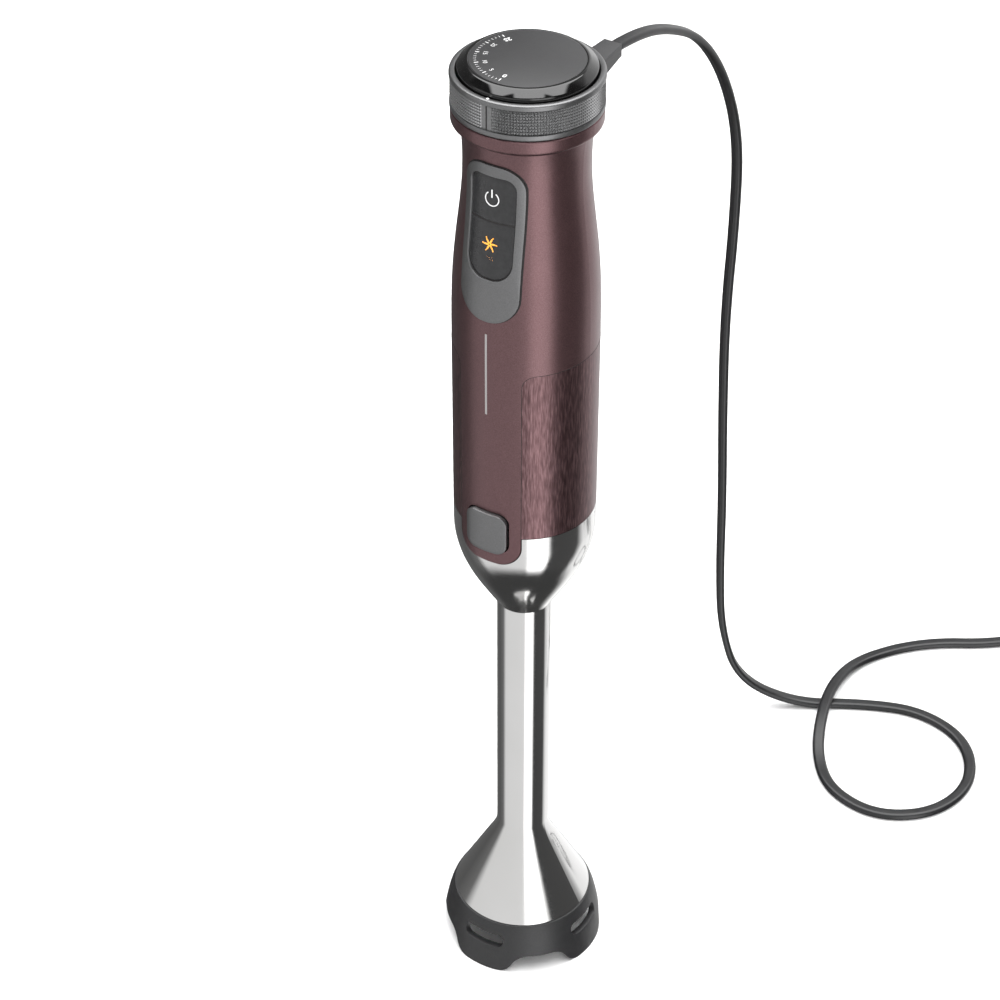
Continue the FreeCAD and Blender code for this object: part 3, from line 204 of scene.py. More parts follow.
# ------------------------------------------------------------------ finishes
class Finish:
    """A Principled material, with short calls for the textures put into it."""

    def __init__(self, name, colour, roughness, metallic=0.0, **sockets):
        self.material = bpy.data.materials.new(name)
        self.material.use_nodes = True
        self.nodes = self.material.node_tree.nodes
        self.links = self.material.node_tree.links
        self.shader = self.nodes["Principled BSDF"]
        self.shader.inputs["Base Color"].default_value = (*colour, 1)
        self.shader.inputs["Roughness"].default_value = roughness
        self.shader.inputs["Metallic"].default_value = metallic
        for socket, value in sockets.items():
            self.shader.inputs[socket.replace("_", " ")].default_value = value
        self.coords = self.nodes.new("ShaderNodeTexCoord")

    def mapped(self, scale):
        mapping = self.nodes.new("ShaderNodeMapping")
        mapping.inputs["Scale"].default_value = scale
        self.links.new(self.coords.outputs["Object"], mapping.inputs["Vector"])
        return mapping.outputs["Vector"]

    def noise(self, scale, detail=3.0, rough=0.55):
        """Noise whose grains are 1/scale metres along each axis."""
        scale = scale if isinstance(scale, tuple) else (scale,) * 3
        texture = self.nodes.new("ShaderNodeTexNoise")
        texture.inputs["Scale"].default_value = 1.0
        texture.inputs["Detail"].default_value = detail
        texture.inputs["Roughness"].default_value = rough
        self.links.new(self.mapped(scale), texture.inputs["Vector"])
        return texture.outputs["Fac"]

    def ranged(self, value, low, high, start=0.3, end=0.7):
        span = self.nodes.new("ShaderNodeMapRange")
        span.inputs["From Min"].default_value = start
        span.inputs["From Max"].default_value = end
        span.inputs["To Min"].default_value = low
        span.inputs["To Max"].default_value = high
        self.links.new(value, span.inputs["Value"])
        return span.outputs["Result"]

    def colours(self, value, *stops):
        ramp = self.nodes.new("ShaderNodeValToRGB")
        elements = ramp.color_ramp.elements
        while len(elements) < len(stops):
            elements.new(0.5)
        for element, (place, colour) in zip(elements, stops):
            element.position = place
            element.color = (*colour, 1)
        self.links.new(value, ramp.inputs["Fac"])
        self.links.new(ramp.outputs["Color"], self.shader.inputs["Base Color"])

    def roughen(self, value, low, high):
        self.links.new(self.ranged(value, low, high), self.shader.inputs["Roughness"])

    def bump(self, value, strength, depth):
        """Surface relief, depth in metres."""
        bump = self.nodes.new("ShaderNodeBump")
        bump.inputs["Strength"].default_value = strength
        bump.inputs["Distance"].default_value = depth
        self.links.new(value, bump.inputs["Height"])
        before = self.shader.inputs["Normal"].links
        if before:
            self.links.new(before[0].from_socket, bump.inputs["Normal"])
        self.links.new(bump.outputs["Normal"], self.shader.inputs["Normal"])


def plum_paint():
    finish = Finish("plum_paint", (0.16, 0.085, 0.09), 0.36, 0.85,
                    Coat_Weight=0.12, Coat_Roughness=0.25)
    flakes = finish.noise(2600, 2)
    finish.colours(flakes, (0.3, (0.132, 0.074, 0.078)), (0.7, (0.188, 0.106, 0.112)))
    finish.roughen(finish.noise(40), 0.29, 0.34)
    finish.bump(finish.noise(1500, 2), 0.05, 0.00002)
    return finish.material


def brushed_plum():
    finish = Finish("brushed_plum", (0.16, 0.085, 0.09), 0.34, 0.9)
    strokes = finish.noise((1900, 1900, 190), 2.5, 0.5)
    finish.colours(strokes, (0.30, (0.090, 0.050, 0.053)), (0.5, (0.150, 0.085, 0.090)),
                   (0.70, (0.245, 0.145, 0.152)))
    finish.roughen(strokes, 0.28, 0.38)
    finish.bump(strokes, 0.35, 0.00004)
    return finish.material


def gunmetal():
    finish = Finish("gunmetal", (0.2, 0.2, 0.203), 0.36, 0.9)
    grain = finish.noise(2200, 3)
    finish.colours(grain, (0.3, (0.185, 0.185, 0.188)), (0.7, (0.225, 0.225, 0.228)))
    finish.roughen(finish.noise(60), 0.34, 0.42)
    finish.bump(grain, 0.08, 0.00002)
    return finish.material


def knurled_metal():
    finish = Finish("knurled_metal", (0.24, 0.24, 0.243), 0.30, 0.9)
    finish.colours(finish.noise(1500, 2), (0.3, (0.22, 0.22, 0.223)), (0.7, (0.27, 0.27, 0.273)))
    finish.roughen(finish.noise(300), 0.26, 0.34)
    return finish.material


def soft_black():
    finish = Finish("soft_black", (0.04, 0.04, 0.041), 0.5)
    grain = finish.noise(1800, 2)
    finish.colours(grain, (0.3, (0.036, 0.036, 0.037)), (0.7, (0.044, 0.044, 0.045)))
    finish.bump(grain, 0.1, 0.00003)
    return finish.material


# Near-black for the dark joints, and also for the painted shade of the speed ring's front groove.
def seam_black():
    finish = Finish("seam_black", (0.012, 0.010, 0.010), 0.6)
    finish.colours(finish.noise(900), (0.3, (0.010, 0.008, 0.008)), (0.7, (0.015, 0.012, 0.012)))
    return finish.material


def gloss_black():
    finish = Finish("gloss_black", (0.004, 0.004, 0.004), 0.06, 0.0,
                    Coat_Weight=0.5, Coat_Roughness=0.03)
    finish.roughen(finish.noise(120), 0.05, 0.08)
    finish.colours(finish.noise(300), (0.3, (0.003, 0.003, 0.003)), (0.7, (0.005, 0.005, 0.005)))
    return finish.material


def button_black():
    finish = Finish("button_black", (0.02, 0.02, 0.021), 0.18)
    finish.roughen(finish.noise(150), 0.14, 0.20)
    finish.colours(finish.noise(500), (0.3, (0.017, 0.017, 0.018)), (0.7, (0.023, 0.023, 0.024)))
    finish.bump(finish.noise(2500, 2), 0.03, 0.00001)
    return finish.material


def matte_black():
    finish = Finish("matte_black", (0.018, 0.018, 0.019), 0.42)
    grain = finish.noise(1400, 3)
    finish.colours(grain, (0.3, (0.015, 0.015, 0.016)), (0.7, (0.021, 0.021, 0.022)))
    finish.roughen(finish.noise(200), 0.38, 0.46)
    finish.bump(grain, 0.22, 0.00005)
    return finish.material


def dial_grey():
    finish = Finish("dial_grey", (0.032, 0.032, 0.033), 0.42)
    grain = finish.noise(2600, 2)
    finish.colours(grain, (0.3, (0.029, 0.029, 0.030)), (0.7, (0.036, 0.036, 0.037)))
    finish.roughen(finish.noise(90), 0.40, 0.47)
    finish.bump(grain, 0.08, 0.00002)
    return finish.material


def polished_steel():
    finish = Finish("polished_steel", (0.80, 0.795, 0.785), 0.12, 1.0)
    lines = finish.noise((30, 30, 2600), 3)
    finish.colours(finish.noise(25), (0.3, (0.79, 0.785, 0.775)), (0.7, (0.83, 0.825, 0.82)))
    finish.roughen(lines, 0.09, 0.15)
    finish.bump(lines, 0.02, 0.00001)
    return finish.material


def ground_steel():
    finish = Finish("ground_steel", (0.62, 0.62, 0.62), 0.28, 1.0)
    lines = finish.noise((60, 2400, 2400), 3)
    finish.colours(lines, (0.3, (0.55, 0.55, 0.55)), (0.7, (0.68, 0.68, 0.68)))
    finish.roughen(lines, 0.24, 0.36)
    finish.bump(lines, 0.15, 0.00002)
    return finish.material


def machined_steel():
    finish = Finish("machined_steel", (0.5, 0.5, 0.5), 0.32, 1.0)
    rings = finish.noise((200, 200, 3000), 2)
    finish.colours(rings, (0.3, (0.44, 0.44, 0.44)), (0.7, (0.55, 0.55, 0.55)))
    finish.roughen(rings, 0.27, 0.4)
    return finish.material


def copper_wire():
    finish = Finish("copper_wire", (0.62, 0.27, 0.12), 0.3, 0.9)
    turns = finish.noise((80, 80, 2600), 1)
    finish.colours(turns, (0.35, (0.32, 0.12, 0.05)), (0.65, (0.72, 0.33, 0.16)))
    finish.bump(turns, 0.6, 0.0002)
    return finish.material


def board_green():
    finish = Finish("board_green", (0.02, 0.12, 0.06), 0.4)
    finish.colours(finish.noise(700), (0.45, (0.015, 0.10, 0.05)), (0.55, (0.03, 0.17, 0.08)))
    return finish.material


def grey_plastic():
    finish = Finish("grey_plastic", (0.3, 0.3, 0.3), 0.5)
    grain = finish.noise(1200)
    finish.colours(grain, (0.3, (0.27, 0.27, 0.27)), (0.7, (0.33, 0.33, 0.33)))
    finish.bump(grain, 0.15, 0.00005)
    return finish.material


def carbon():
    finish = Finish("carbon", (0.05, 0.05, 0.05), 0.65)
    finish.colours(finish.noise(2000), (0.3, (0.04, 0.04, 0.04)), (0.7, (0.07, 0.07, 0.07)))
    return finish.material


def soft_rubber():
    finish = Finish("soft_rubber", (0.03, 0.03, 0.03), 0.6)
    grain = finish.noise(1600)
    finish.colours(grain, (0.3, (0.025, 0.025, 0.025)), (0.7, (0.04, 0.04, 0.04)))
    finish.bump(grain, 0.2, 0.00005)
    return finish.material


def cord_black():
    finish = Finish("cord_black", (0.012, 0.012, 0.013), 0.32)
    grain = finish.noise(900)
    finish.colours(grain, (0.3, (0.010, 0.010, 0.011)), (0.7, (0.015, 0.015, 0.016)))
    finish.roughen(finish.noise(150), 0.28, 0.36)
    finish.bump(grain, 0.08, 0.00005)
    return finish.material


def white_print():
    finish = Finish("white_print", (0.85, 0.85, 0.85), 0.5)
    finish.colours(finish.noise(900), (0.3, (0.80, 0.80, 0.80)), (0.7, (0.88, 0.88, 0.88)))
    return finish.material


def amber_light():
    finish = Finish("amber_light", (0.95, 0.36, 0.04), 0.3, Emission_Strength=0.55)
    finish.shader.inputs["Emission Color"].default_value = (1.0, 0.42, 0.06, 1)
    finish.colours(finish.noise(900), (0.3, (0.90, 0.33, 0.03)), (0.7, (1.0, 0.42, 0.06)))
    return finish.material


def silver_trim():
    finish = Finish("silver_trim", (0.55, 0.53, 0.53), 0.3, 0.9)
    finish.roughen(finish.noise((2000, 2000, 60)), 0.26, 0.4)
    return finish.material


NODE_FINISHES = {
    plum_paint: ("handle_shell",),
    brushed_plum: ("grip_panel",),
    gunmetal: ("control_bezel", "release_button", "speed_ring"),
    gloss_black: ("dial_cap",),
    button_black: ("power_button", "turbo_button"),
    matte_black: ("bell_guard", "shaft_adaptor", "coupling_socket", "top_frame", "latch_slide",
                  "bearing_nose", "cord_clamp"),
    dial_grey: ("dial_face",),
    polished_steel: ("steel_cup", "steel_tube", "steel_bell"),
    ground_steel: ("blade",),
    machined_steel: ("blade_nut", "drive_spindle", "motor_shaft", "motor_bearings", "stator_core",
                     "armature_core", "cap_screws", "release_spring", "ring_wiper", "plug_pins"),
    copper_wire: ("field_coils", "armature_windings", "commutator", "brush_holders"),
    board_green: ("circuit_board", "track_board"),
    grey_plastic: ("motor_frame", "motor_coupling", "shaft_coupling", "cooling_fan",
                   "upper_bushing", "lower_bushing", "board_switches"),
    carbon: ("carbon_brushes",),
    soft_rubber: ("rubber_mounts", "shaft_seal"),
    cord_black: ("strain_relief", "plug_body", "power_cord", "cord_tail", "cord_coil"),
    white_print: ("power_icon", "ring_pointer"),
    amber_light: ("turbo_icon",),
    silver_trim: ("accent_strip", "capacitor"),
}
FINISH = {}


def dress_nodes():
    for make in (knurled_metal, soft_black, seam_black):
        FINISH[make.__name__] = make()
    for make, names in NODE_FINISHES.items():
        FINISH[make.__name__] = make()
        for name in names:
            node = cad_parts[name]
            node.data.materials.clear()
            node.data.materials.append(FINISH[make.__name__])


# ------------------------------------------------------------------ workbench
def clear_selection():
    bpy.ops.object.select_all(action="DESELECT")


def only(piece):
    """Select one piece, alone and active."""
    clear_selection()
    piece.select_set(True)
    bpy.context.view_layer.objects.active = piece


def begin(name):
    """Take the primitive just added as a named piece, at rest, and open it for editing."""
    piece = bpy.context.object
    piece.name = piece.data.name = name
    bpy.ops.object.transform_apply(location=True, rotation=True, scale=True)
    bpy.ops.object.mode_set(mode="EDIT")
    bpy.ops.mesh.select_all(action="SELECT")
    return piece


def pick(piece, kind, test):
    """Select the vertices, edges or faces whose middle passes a test, and nothing else."""
    bpy.ops.object.mode_set(mode="EDIT")
    bpy.ops.mesh.select_mode(type={"v": "VERT", "e": "EDGE", "f": "FACE"}[kind])
    bpy.ops.mesh.select_all(action="DESELECT")
    bpy.ops.object.mode_set(mode="OBJECT")
    mesh = piece.data
    for part in {"v": mesh.vertices, "e": mesh.edges, "f": mesh.polygons}[kind]:
        if kind == "v":
            middle = part.co
        elif kind == "f":
            middle = part.center
        else:
            middle = (mesh.vertices[part.vertices[0]].co + mesh.vertices[part.vertices[1]].co) / 2
        part.select = bool(test(middle / MM, part))
    bpy.ops.object.mode_set(mode="EDIT")


def closed_up():
    """Merge doubles, turn the faces outwards and leave edit mode."""
    bpy.ops.object.mode_set(mode="EDIT")
    bpy.ops.mesh.select_all(action="SELECT")
    bpy.ops.mesh.remove_doubles(threshold=0.00001)
    bpy.ops.mesh.normals_make_consistent(inside=False)
    bpy.ops.object.mode_set(mode="OBJECT")


def modify(piece, kind, **values):
    modifier = piece.modifiers.new(kind.lower(), kind)
    for key, value in values.items():
        setattr(modifier, key, value)
    only(piece)
    bpy.ops.object.modifier_apply(modifier=modifier.name)


def round_edges(piece, width, angle=35, segments=3):
    modify(piece, "BEVEL", width=width * MM, segments=segments, limit_method="ANGLE",
           angle_limit=math.radians(angle), use_clamp_overlap=True, miter_outer="MITER_ARC")


def finished(piece, finish, body, smooth=32, hides=()):
    """Shade a piece, give it its finish and put it on its body."""
    only(piece)
    if smooth:
        bpy.ops.object.shade_smooth_by_angle(angle=math.radians(smooth))
    else:
        bpy.ops.object.shade_flat()
    piece.data.materials.clear()
    piece.data.materials.append(FINISH[finish])
    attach(piece, body)
    if hides:
        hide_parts(*hides)
    return piece


def joined(name, pieces):
    clear_selection()
    for piece in pieces:
        piece.select_set(True)
    bpy.context.view_layer.objects.active = pieces[0]
    bpy.ops.object.join()
    pieces[0].name = pieces[0].data.name = name
    return pieces[0]


def turned(name, outline, sides, filled=False):
    """Body of revolution: a circle raised and resized along (radius, height) points, in mm."""
    clear_selection()
    radius, height = outline[0]
    bpy.ops.mesh.primitive_circle_add(vertices=sides, radius=radius * MM,
                                      location=(0, 0, height * MM))
    piece = begin(name)
    if filled:
        bpy.ops.mesh.edge_face_add()
        pick(piece, "e", lambda at, part: True)
    for (r0, z0), (r1, z1) in zip(outline, outline[1:]):
        bpy.ops.mesh.extrude_edges_move(TRANSFORM_OT_translate={"value": (0, 0, (z1 - z0) * MM)})
        if r1 != r0:
            bpy.ops.transform.resize(value=(r1 / r0, r1 / r0, 1),
                                     center_override=(0, 0, z1 * MM))
    if filled:
        bpy.ops.mesh.edge_face_add()
    closed_up()
    return piece


def rounded(corner, start, end, steps=5):
    """Points of a soft corner between two (radius, height) points, pulled towards a third."""
    points = []
    for i in range(steps + 1):
        t = i / steps
        points.append(tuple(a * (1 - t) ** 2 + 2 * c * t * (1 - t) + b * t ** 2
                            for a, b, c in zip(start, end, corner)))
    return points


def raised_line(name, places, width, roundness, closed=False):
    """Fine round bead through places in metres, as a mesh."""
    curve = bpy.data.curves.new(name, "CURVE")
    curve.dimensions = "3D"
    spline = curve.splines.new("POLY")
    spline.points.add(len(places) - 1)
    for slot, place in zip(spline.points, places):
        slot.co = (*place, 1)
    spline.use_cyclic_u = closed
    curve.bevel_depth = width / 2 * MM
    curve.bevel_resolution = roundness
    curve.use_fill_caps = True
    holder = bpy.data.objects.new(name, curve)
    bpy.context.scene.collection.objects.link(holder)
    only(holder)
    bpy.ops.object.convert(target="MESH")
    return bpy.context.object


# ------------------------------------------------------------------ sizes from the frame
def top_of(node):
    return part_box(node)[1][2] / MM


def low_of(node):
    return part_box(node)[0][2] / MM


PARTING = low_of("grip_panel")
HANDLE_TOP = top_of("handle_shell")
GRIP_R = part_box("grip_panel")[1][0] / MM
RING_LOW, RING_TOP = low_of("speed_ring"), top_of("speed_ring")
RING_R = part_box("speed_ring")[1][0] / MM
CAP_TOP = top_of("dial_cap")
CAP_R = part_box("dial_cap")[1][0] / MM
FACE_TOP = top_of("dial_face")
FACE_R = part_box("dial_face")[1][0] / MM
WINDOW_HALF_W = 9.8
NECK_R = 24.2
NECK_Z = HANDLE_TOP - 23.5
SHOULDER_Z = HANDLE_TOP - 103.5
COLLAR_R = 27.6


def housing_radius(z):
    """Outer radius of the painted housing at a height, in mm."""
    if z <= SHOULDER_Z:
        return GRIP_R
    if z <= NECK_Z:
        share = ((z - SHOULDER_Z) / (NECK_Z - SHOULDER_Z)) ** 1.6
        return GRIP_R - (GRIP_R - NECK_R) * math.sin(math.pi / 2 * share) ** 2
    return NECK_R + (COLLAR_R - NECK_R) * ((z - NECK_Z) / (HANDLE_TOP - NECK_Z)) ** 3


# ------------------------------------------------------------------ dial and speed ring
CAP_SLOPE = 3.3           # height of the gloss cap's sloping rim


def dial_cap():
    edge = CAP_R
    flat = FACE_R + 0.5
    low = CAP_TOP - CAP_SLOPE
    outline = [(edge - 0.15, low - 3.8), (edge, low - 0.4), (edge, low + 0.35)]
    outline += rounded((edge, low + 0.85), (edge, low + 0.45), (edge - 0.35, low + 1.18), 5)
    outline += rounded((flat + 0.62, CAP_TOP), (flat + 1.15, CAP_TOP - 0.46),
                       (flat - 0.1, CAP_TOP), 6)
    outline += [(flat - 0.3, CAP_TOP), (FACE_R + 0.04, CAP_TOP - 0.12),
                (FACE_R + 0.04, CAP_TOP - 1.0)]
    finished(turned("dial_bevel", outline, 224), "gloss_black", "handle", 40,
             ("dial_cap",))


def dial_face():
    r = FACE_R
    outline = [(r, FACE_TOP - 1.1), (r, FACE_TOP - 0.16), (r - 0.05, FACE_TOP - 0.05),
               (r - 0.16, FACE_TOP)]
    finished(turned("dial_disc", outline, 224, filled=True), "dial_grey", "handle",
             40, ("dial_face",))


SCALE_STEP = 24.0         # degrees between the numbered marks
SCALE_MARKS = 26          # every fifth is long and numbered
MARKS_R = 19.8            # outer ends of the marks
NUMBERS_R = 15.9
LONG_MARK = (1.6, 0.34)   # length, width
SHORT_MARK = (1.1, 0.15)


def dial_mark(size):
    """One mark of the scale, at its start."""
    length, width = size
    clear_selection()
    bpy.ops.mesh.primitive_cube_add(
        size=1, location=(0, -(MARKS_R - length / 2) * MM, (FACE_TOP + 0.01) * MM))
    bpy.context.object.scale = (width * MM, length * MM, 0.06 * MM)
    mark = begin("mark")
    bpy.ops.mesh.bevel(offset=0.02 * MM, segments=1, affect="EDGES")
    bpy.ops.object.mode_set(mode="OBJECT")
    return mark


def dial_number(value, turn):
    """A number of the scale at its place; the first and the last are larger."""
    ends = value in (0, SCALE_MARKS - 1)
    clear_selection()
    bpy.ops.object.text_add()
    number = bpy.context.object
    number.data.body = str(value)
    number.data.size = (3.0 if ends else 2.5) * MM
    number.data.align_x = number.data.align_y = "CENTER"
    number.data.extrude = 0.02 * MM
    number.data.offset = (0.03 if ends else -0.03) * MM
    bpy.ops.object.convert(target="MESH")
    place = Vector((0, -NUMBERS_R, FACE_TOP + 0.02)) * MM
    number.data.transform(turn @ Matrix.Translation(place))
    return number


def dial_scale():
    """Marks and numbers round the dial, clockwise from the front as seen from above."""
    long_mark, short_mark = dial_mark(LONG_MARK), dial_mark(SHORT_MARK)
    marks, numbers = [], []
    for i in range(SCALE_MARKS):
        turn = Matrix.Rotation(math.radians(-SCALE_STEP * i / 5), 4, "Z")
        pattern = short_mark if i % 5 else long_mark
        mark = bpy.data.objects.new("mark", pattern.data.copy())
        bpy.context.scene.collection.objects.link(mark)
        mark.data.transform(turn)
        marks.append(mark)
        if i % 5 == 0:
            numbers.append(dial_number(i, turn))
    for pattern in (long_mark, short_mark):
        bpy.data.objects.remove(pattern)
    finished(joined("dial_scale", marks + numbers), "white_print", "handle", 0)


BAND_R = RING_R - 0.4
BAND_LOW, BAND_HIGH = RING_LOW + 2.3, RING_TOP - 2.3
RING_BORE_R = 22.6
RING_FLOOR = 2.6          # height of the inner floor over the ring's underside
KNURL_COLUMNS = 166
KNURL_ROWS = 8
KNURL_PROUD = 0.60       # points above the valleys
KNURL_SUNK = 0.35        # valleys below the band's outside
KNURL_PLAIN = 1.6        # columns left plain on each side of the front groove, where a dark bar paints its shade


def ring_body():
    r, low, top = RING_R, RING_LOW, RING_TOP
    outline = [(RING_BORE_R, low), (r - 0.9, low)]
    outline += rounded((r - 0.1, low), (r - 0.8, low), (r - 0.1, low + 0.8))
    outline += [(r - 0.1, BAND_LOW - 0.35), (r - 0.2, BAND_LOW - 0.1), (BAND_R - 0.6, BAND_LOW),
                (BAND_R - 0.6, BAND_HIGH), (r - 0.2, BAND_HIGH + 0.05), (r, BAND_HIGH + 0.3)]
    outline += rounded((r, top - 0.05), (r, top - 1.2), (r - 1.25, top))
    outline += [(r - 1.9, top - 0.02)]
    outline += rounded((r - 2.4, top - 0.1), (r - 2.1, top - 0.05), (r - 2.4, top - 0.6), 3)
    outline += [(r - 2.4, low + RING_FLOOR), (RING_BORE_R, low + RING_FLOOR), (RING_BORE_R, low)]
    finished(turned("ring_body", outline, 256), "gunmetal", "speed_dial", 35,
             ("speed_ring",))


def ring_knurl():
    """Band of small pyramids round the ring, left plain beside the front groove and its painted
    shade.
    """
    middle = (BAND_LOW + BAND_HIGH) / 2
    clear_selection()
    bpy.ops.mesh.primitive_cylinder_add(
        vertices=KNURL_COLUMNS, radius=(BAND_R - KNURL_SUNK) * MM,
        depth=(BAND_HIGH - BAND_LOW) * MM, end_fill_type="NOTHING", location=(0, 0, middle * MM))
    knurl = begin("ring_knurl")
    pick(knurl, "e", lambda at, part: abs(at.z - middle) < 1)
    bpy.ops.mesh.subdivide(number_cuts=KNURL_ROWS - 1)
    plain = KNURL_PLAIN * 2 * math.pi / KNURL_COLUMNS
    pick(knurl, "f", lambda at, part: abs(math.atan2(at.x, -at.y)) > plain)
    bpy.ops.mesh.poke(offset=KNURL_PROUD * MM)
    bpy.ops.object.mode_set(mode="OBJECT")
    finished(knurl, "knurled_metal", "speed_dial", 0)


def ring_index():
    """Painted shade: a dark bar down the front of the band, standing for the shade in the ring's
    front groove.
    """
    clear_selection()
    # near-black bar that paints the shade of the groove
    bpy.ops.mesh.primitive_cube_add(
        size=1, location=(0, -(BAND_R - 0.38) * MM, (BAND_LOW + BAND_HIGH) / 2 * MM))
    bpy.context.object.scale = (0.52 * MM, 0.3 * MM, (BAND_HIGH - BAND_LOW - 0.2) * MM)
    shade_bar = begin("ring_index")
    bpy.ops.mesh.bevel(offset=0.06 * MM, segments=2, affect="EDGES")
    bpy.ops.object.mode_set(mode="OBJECT")
    finished(shade_bar, "seam_black", "speed_dial")


def ring_dot():
    """White mark on the ring's rim that points at the scale."""
    clear_selection()
    bpy.ops.mesh.primitive_cylinder_add(vertices=32, radius=0.55 * MM, depth=0.3 * MM,
                                        location=(0, -(RING_R - 1.75) * MM, (RING_TOP - 0.08) * MM))
    dot = begin("ring_dot")
    bpy.ops.object.mode_set(mode="OBJECT")
    round_edges(dot, 0.06)
    finished(dot, "white_print", "speed_dial", 32, ("ring_pointer",))


# ------------------------------------------------------------------ plates on the housing
def housing_guide(proud, low, high):
    """Sheet that the plates are laid on: the housing's outline, a little prouder."""
    steps = 48
    heights = [low + (high - low) * i / steps for i in range(steps + 1)]
    return turned("guide", [(housing_radius(z) + proud, z) for z in heights], 320)


def flat_outline(name, half_w, low, high, low_corner, high_corner):
    """Upright sheet in front of the housing with two soft corners below and two above."""
    clear_selection()
    bpy.ops.mesh.primitive_plane_add(size=1, location=(0, -60 * MM, (low + high) / 2 * MM),
                                     rotation=(math.pi / 2, 0, 0))
    bpy.context.object.scale = (2 * half_w * MM, (high - low) * MM, 1)
    sheet = begin(name)
    middle = (low + high) / 2
    for corner, side in ((low_corner, -1), (high_corner, 1)):
        pick(sheet, "v", lambda at, part: (at.z - middle) * side > 0 and abs(at.x) > half_w - 0.01
             and abs(abs(at.z - middle) - (high - low) / 2) < 0.01)
        bpy.ops.mesh.bevel(offset=corner * MM, segments=10, affect="VERTICES")
    bpy.ops.object.mode_set(mode="OBJECT")
    return sheet


STRIP = 2.2               # widest strip of a plate before it is laid on


def laid_on(sheet, proud, thick, edge, segments=3):
    """Cut a sheet into fine strips, lay it on the housing, thicken it and round its edges."""
    xs = [v.co.x / MM for v in sheet.data.vertices]
    zs = [v.co.z / MM for v in sheet.data.vertices]
    bpy.context.view_layer.objects.active = sheet
    for values, normal in ((zs, (0, 0, 1)), (xs, (1, 0, 0))):
        span = max(values) - min(values)
        cuts = max(2, round(span / STRIP))
        for i in range(1, cuts):
            at = (min(values) + span * i / cuts + 0.013) * MM
            bpy.ops.object.mode_set(mode="EDIT")
            bpy.ops.mesh.select_all(action="SELECT")
            bpy.ops.mesh.bisect(plane_co=Vector(normal) * at, plane_no=normal)
    bpy.ops.object.mode_set(mode="OBJECT")
    guide = housing_guide(proud, min(zs) - 3, max(zs) + 3)
    modify(sheet, "SHRINKWRAP", target=guide, wrap_method="PROJECT", use_project_y=True,
           use_positive_direction=True, use_negative_direction=False)
    bpy.data.objects.remove(guide)
    closed_up()
    bpy.context.view_layer.objects.active = sheet
    if sum(face.normal.y for face in sheet.data.polygons) > 0:
        bpy.ops.object.mode_set(mode="EDIT")
        bpy.ops.mesh.flip_normals()
        bpy.ops.object.mode_set(mode="OBJECT")
    modify(sheet, "SOLIDIFY", thickness=thick * MM, offset=-1, use_even_offset=True)
    if edge:
        round_edges(sheet, edge, 50, segments)
    return sheet


BEZEL_LOW, BEZEL_HIGH = low_of("control_bezel"), top_of("control_bezel")
BEZEL_HALF_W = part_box("control_bezel")[1][0] / MM
EYE_LOW, EYE_HIGH = HANDLE_TOP - 61.3, HANDLE_TOP - 18.5
SPLIT_Z = HANDLE_TOP - 37.6
SEAM = 0.16
GAP = 0.3                 # round the buttons
HALF_SPLIT = 0.18         # half the gap between the buttons


def control_bezel():
    outer = flat_outline("bezel_frame", BEZEL_HALF_W - SEAM, BEZEL_LOW + SEAM,
                         BEZEL_HIGH - SEAM, 11.9, 9.4)
    eye = flat_outline("bezel_eye", WINDOW_HALF_W, EYE_LOW, EYE_HIGH, 8.0, 4.5)
    frame_piece = joined("bezel_frame", [outer, eye])
    bpy.ops.object.mode_set(mode="EDIT")
    bpy.ops.mesh.select_all(action="SELECT")
    bpy.ops.mesh.delete(type="ONLY_FACE")
    bpy.ops.mesh.select_all(action="SELECT")
    bpy.ops.mesh.bridge_edge_loops()
    bpy.ops.object.mode_set(mode="OBJECT")
    laid_on(frame_piece, 0.85, 2.0, 0.8, segments=4)
    finished(frame_piece, "gunmetal", "handle", 35, ("control_bezel",))


def bezel_seam():
    """Dark joint between the bezel and the painted housing."""
    seam = flat_outline("bezel_seam", BEZEL_HALF_W + SEAM, BEZEL_LOW - SEAM,
                        BEZEL_HIGH + SEAM, 12.1, 9.6)
    laid_on(seam, 0.06, 0.5, 0)
    finished(seam, "seam_black", "handle")


def push_buttons():
    half = WINDOW_HALF_W - GAP
    power = flat_outline("power_face", half, SPLIT_Z + HALF_SPLIT, EYE_HIGH - GAP, 0.5, 4.2)
    laid_on(power, 0.15, 3.2, 0.4)
    finished(power, "button_black", "power_key", 35, ("power_button",))
    turbo = flat_outline("turbo_face", half, EYE_LOW + GAP, SPLIT_Z - HALF_SPLIT, 7.7, 0.5)
    laid_on(turbo, 0.15, 3.2, 0.4)
    finished(turbo, "button_black", "turbo_key", 35, ("turbo_button",))


RELEASE_LOW, RELEASE_HIGH = low_of("release_button"), top_of("release_button")
RELEASE_HALF_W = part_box("release_button")[1][0] / MM


def release_button():
    button = flat_outline("release_face", RELEASE_HALF_W, RELEASE_LOW, RELEASE_HIGH, 4.5, 4.5)
    laid_on(button, 1.7, 3.6, 1.3, segments=2)
    finished(button, "gunmetal", "release_key", 35, ("release_button",))


def outline_print(name, points, z, width, proud, closed=False):
    """Thin raised line through points (x, height above z), laid on the housing's front."""
    places = []
    for x, up in points:
        r = housing_radius(z + up) + proud
        places.append(Vector((x, -math.sqrt(r * r - x * x), z + up)) * MM)
    return raised_line(name, places, width, 2, closed)


def arc_points(cx, cz, radius, start, end, steps):
    """Points of an arc, degrees from straight up, clockwise as seen from the front."""
    points = []
    for i in range(steps + 1):
        a = math.radians(start + (end - start) * i / steps)
        points.append((cx + radius * math.sin(a), cz + radius * math.cos(a)))
    return points


SIGN_PROUD = 0.12
POWER_Z = HANDLE_TOP - 28.2
TURBO_Z = HANDLE_TOP - 46.8


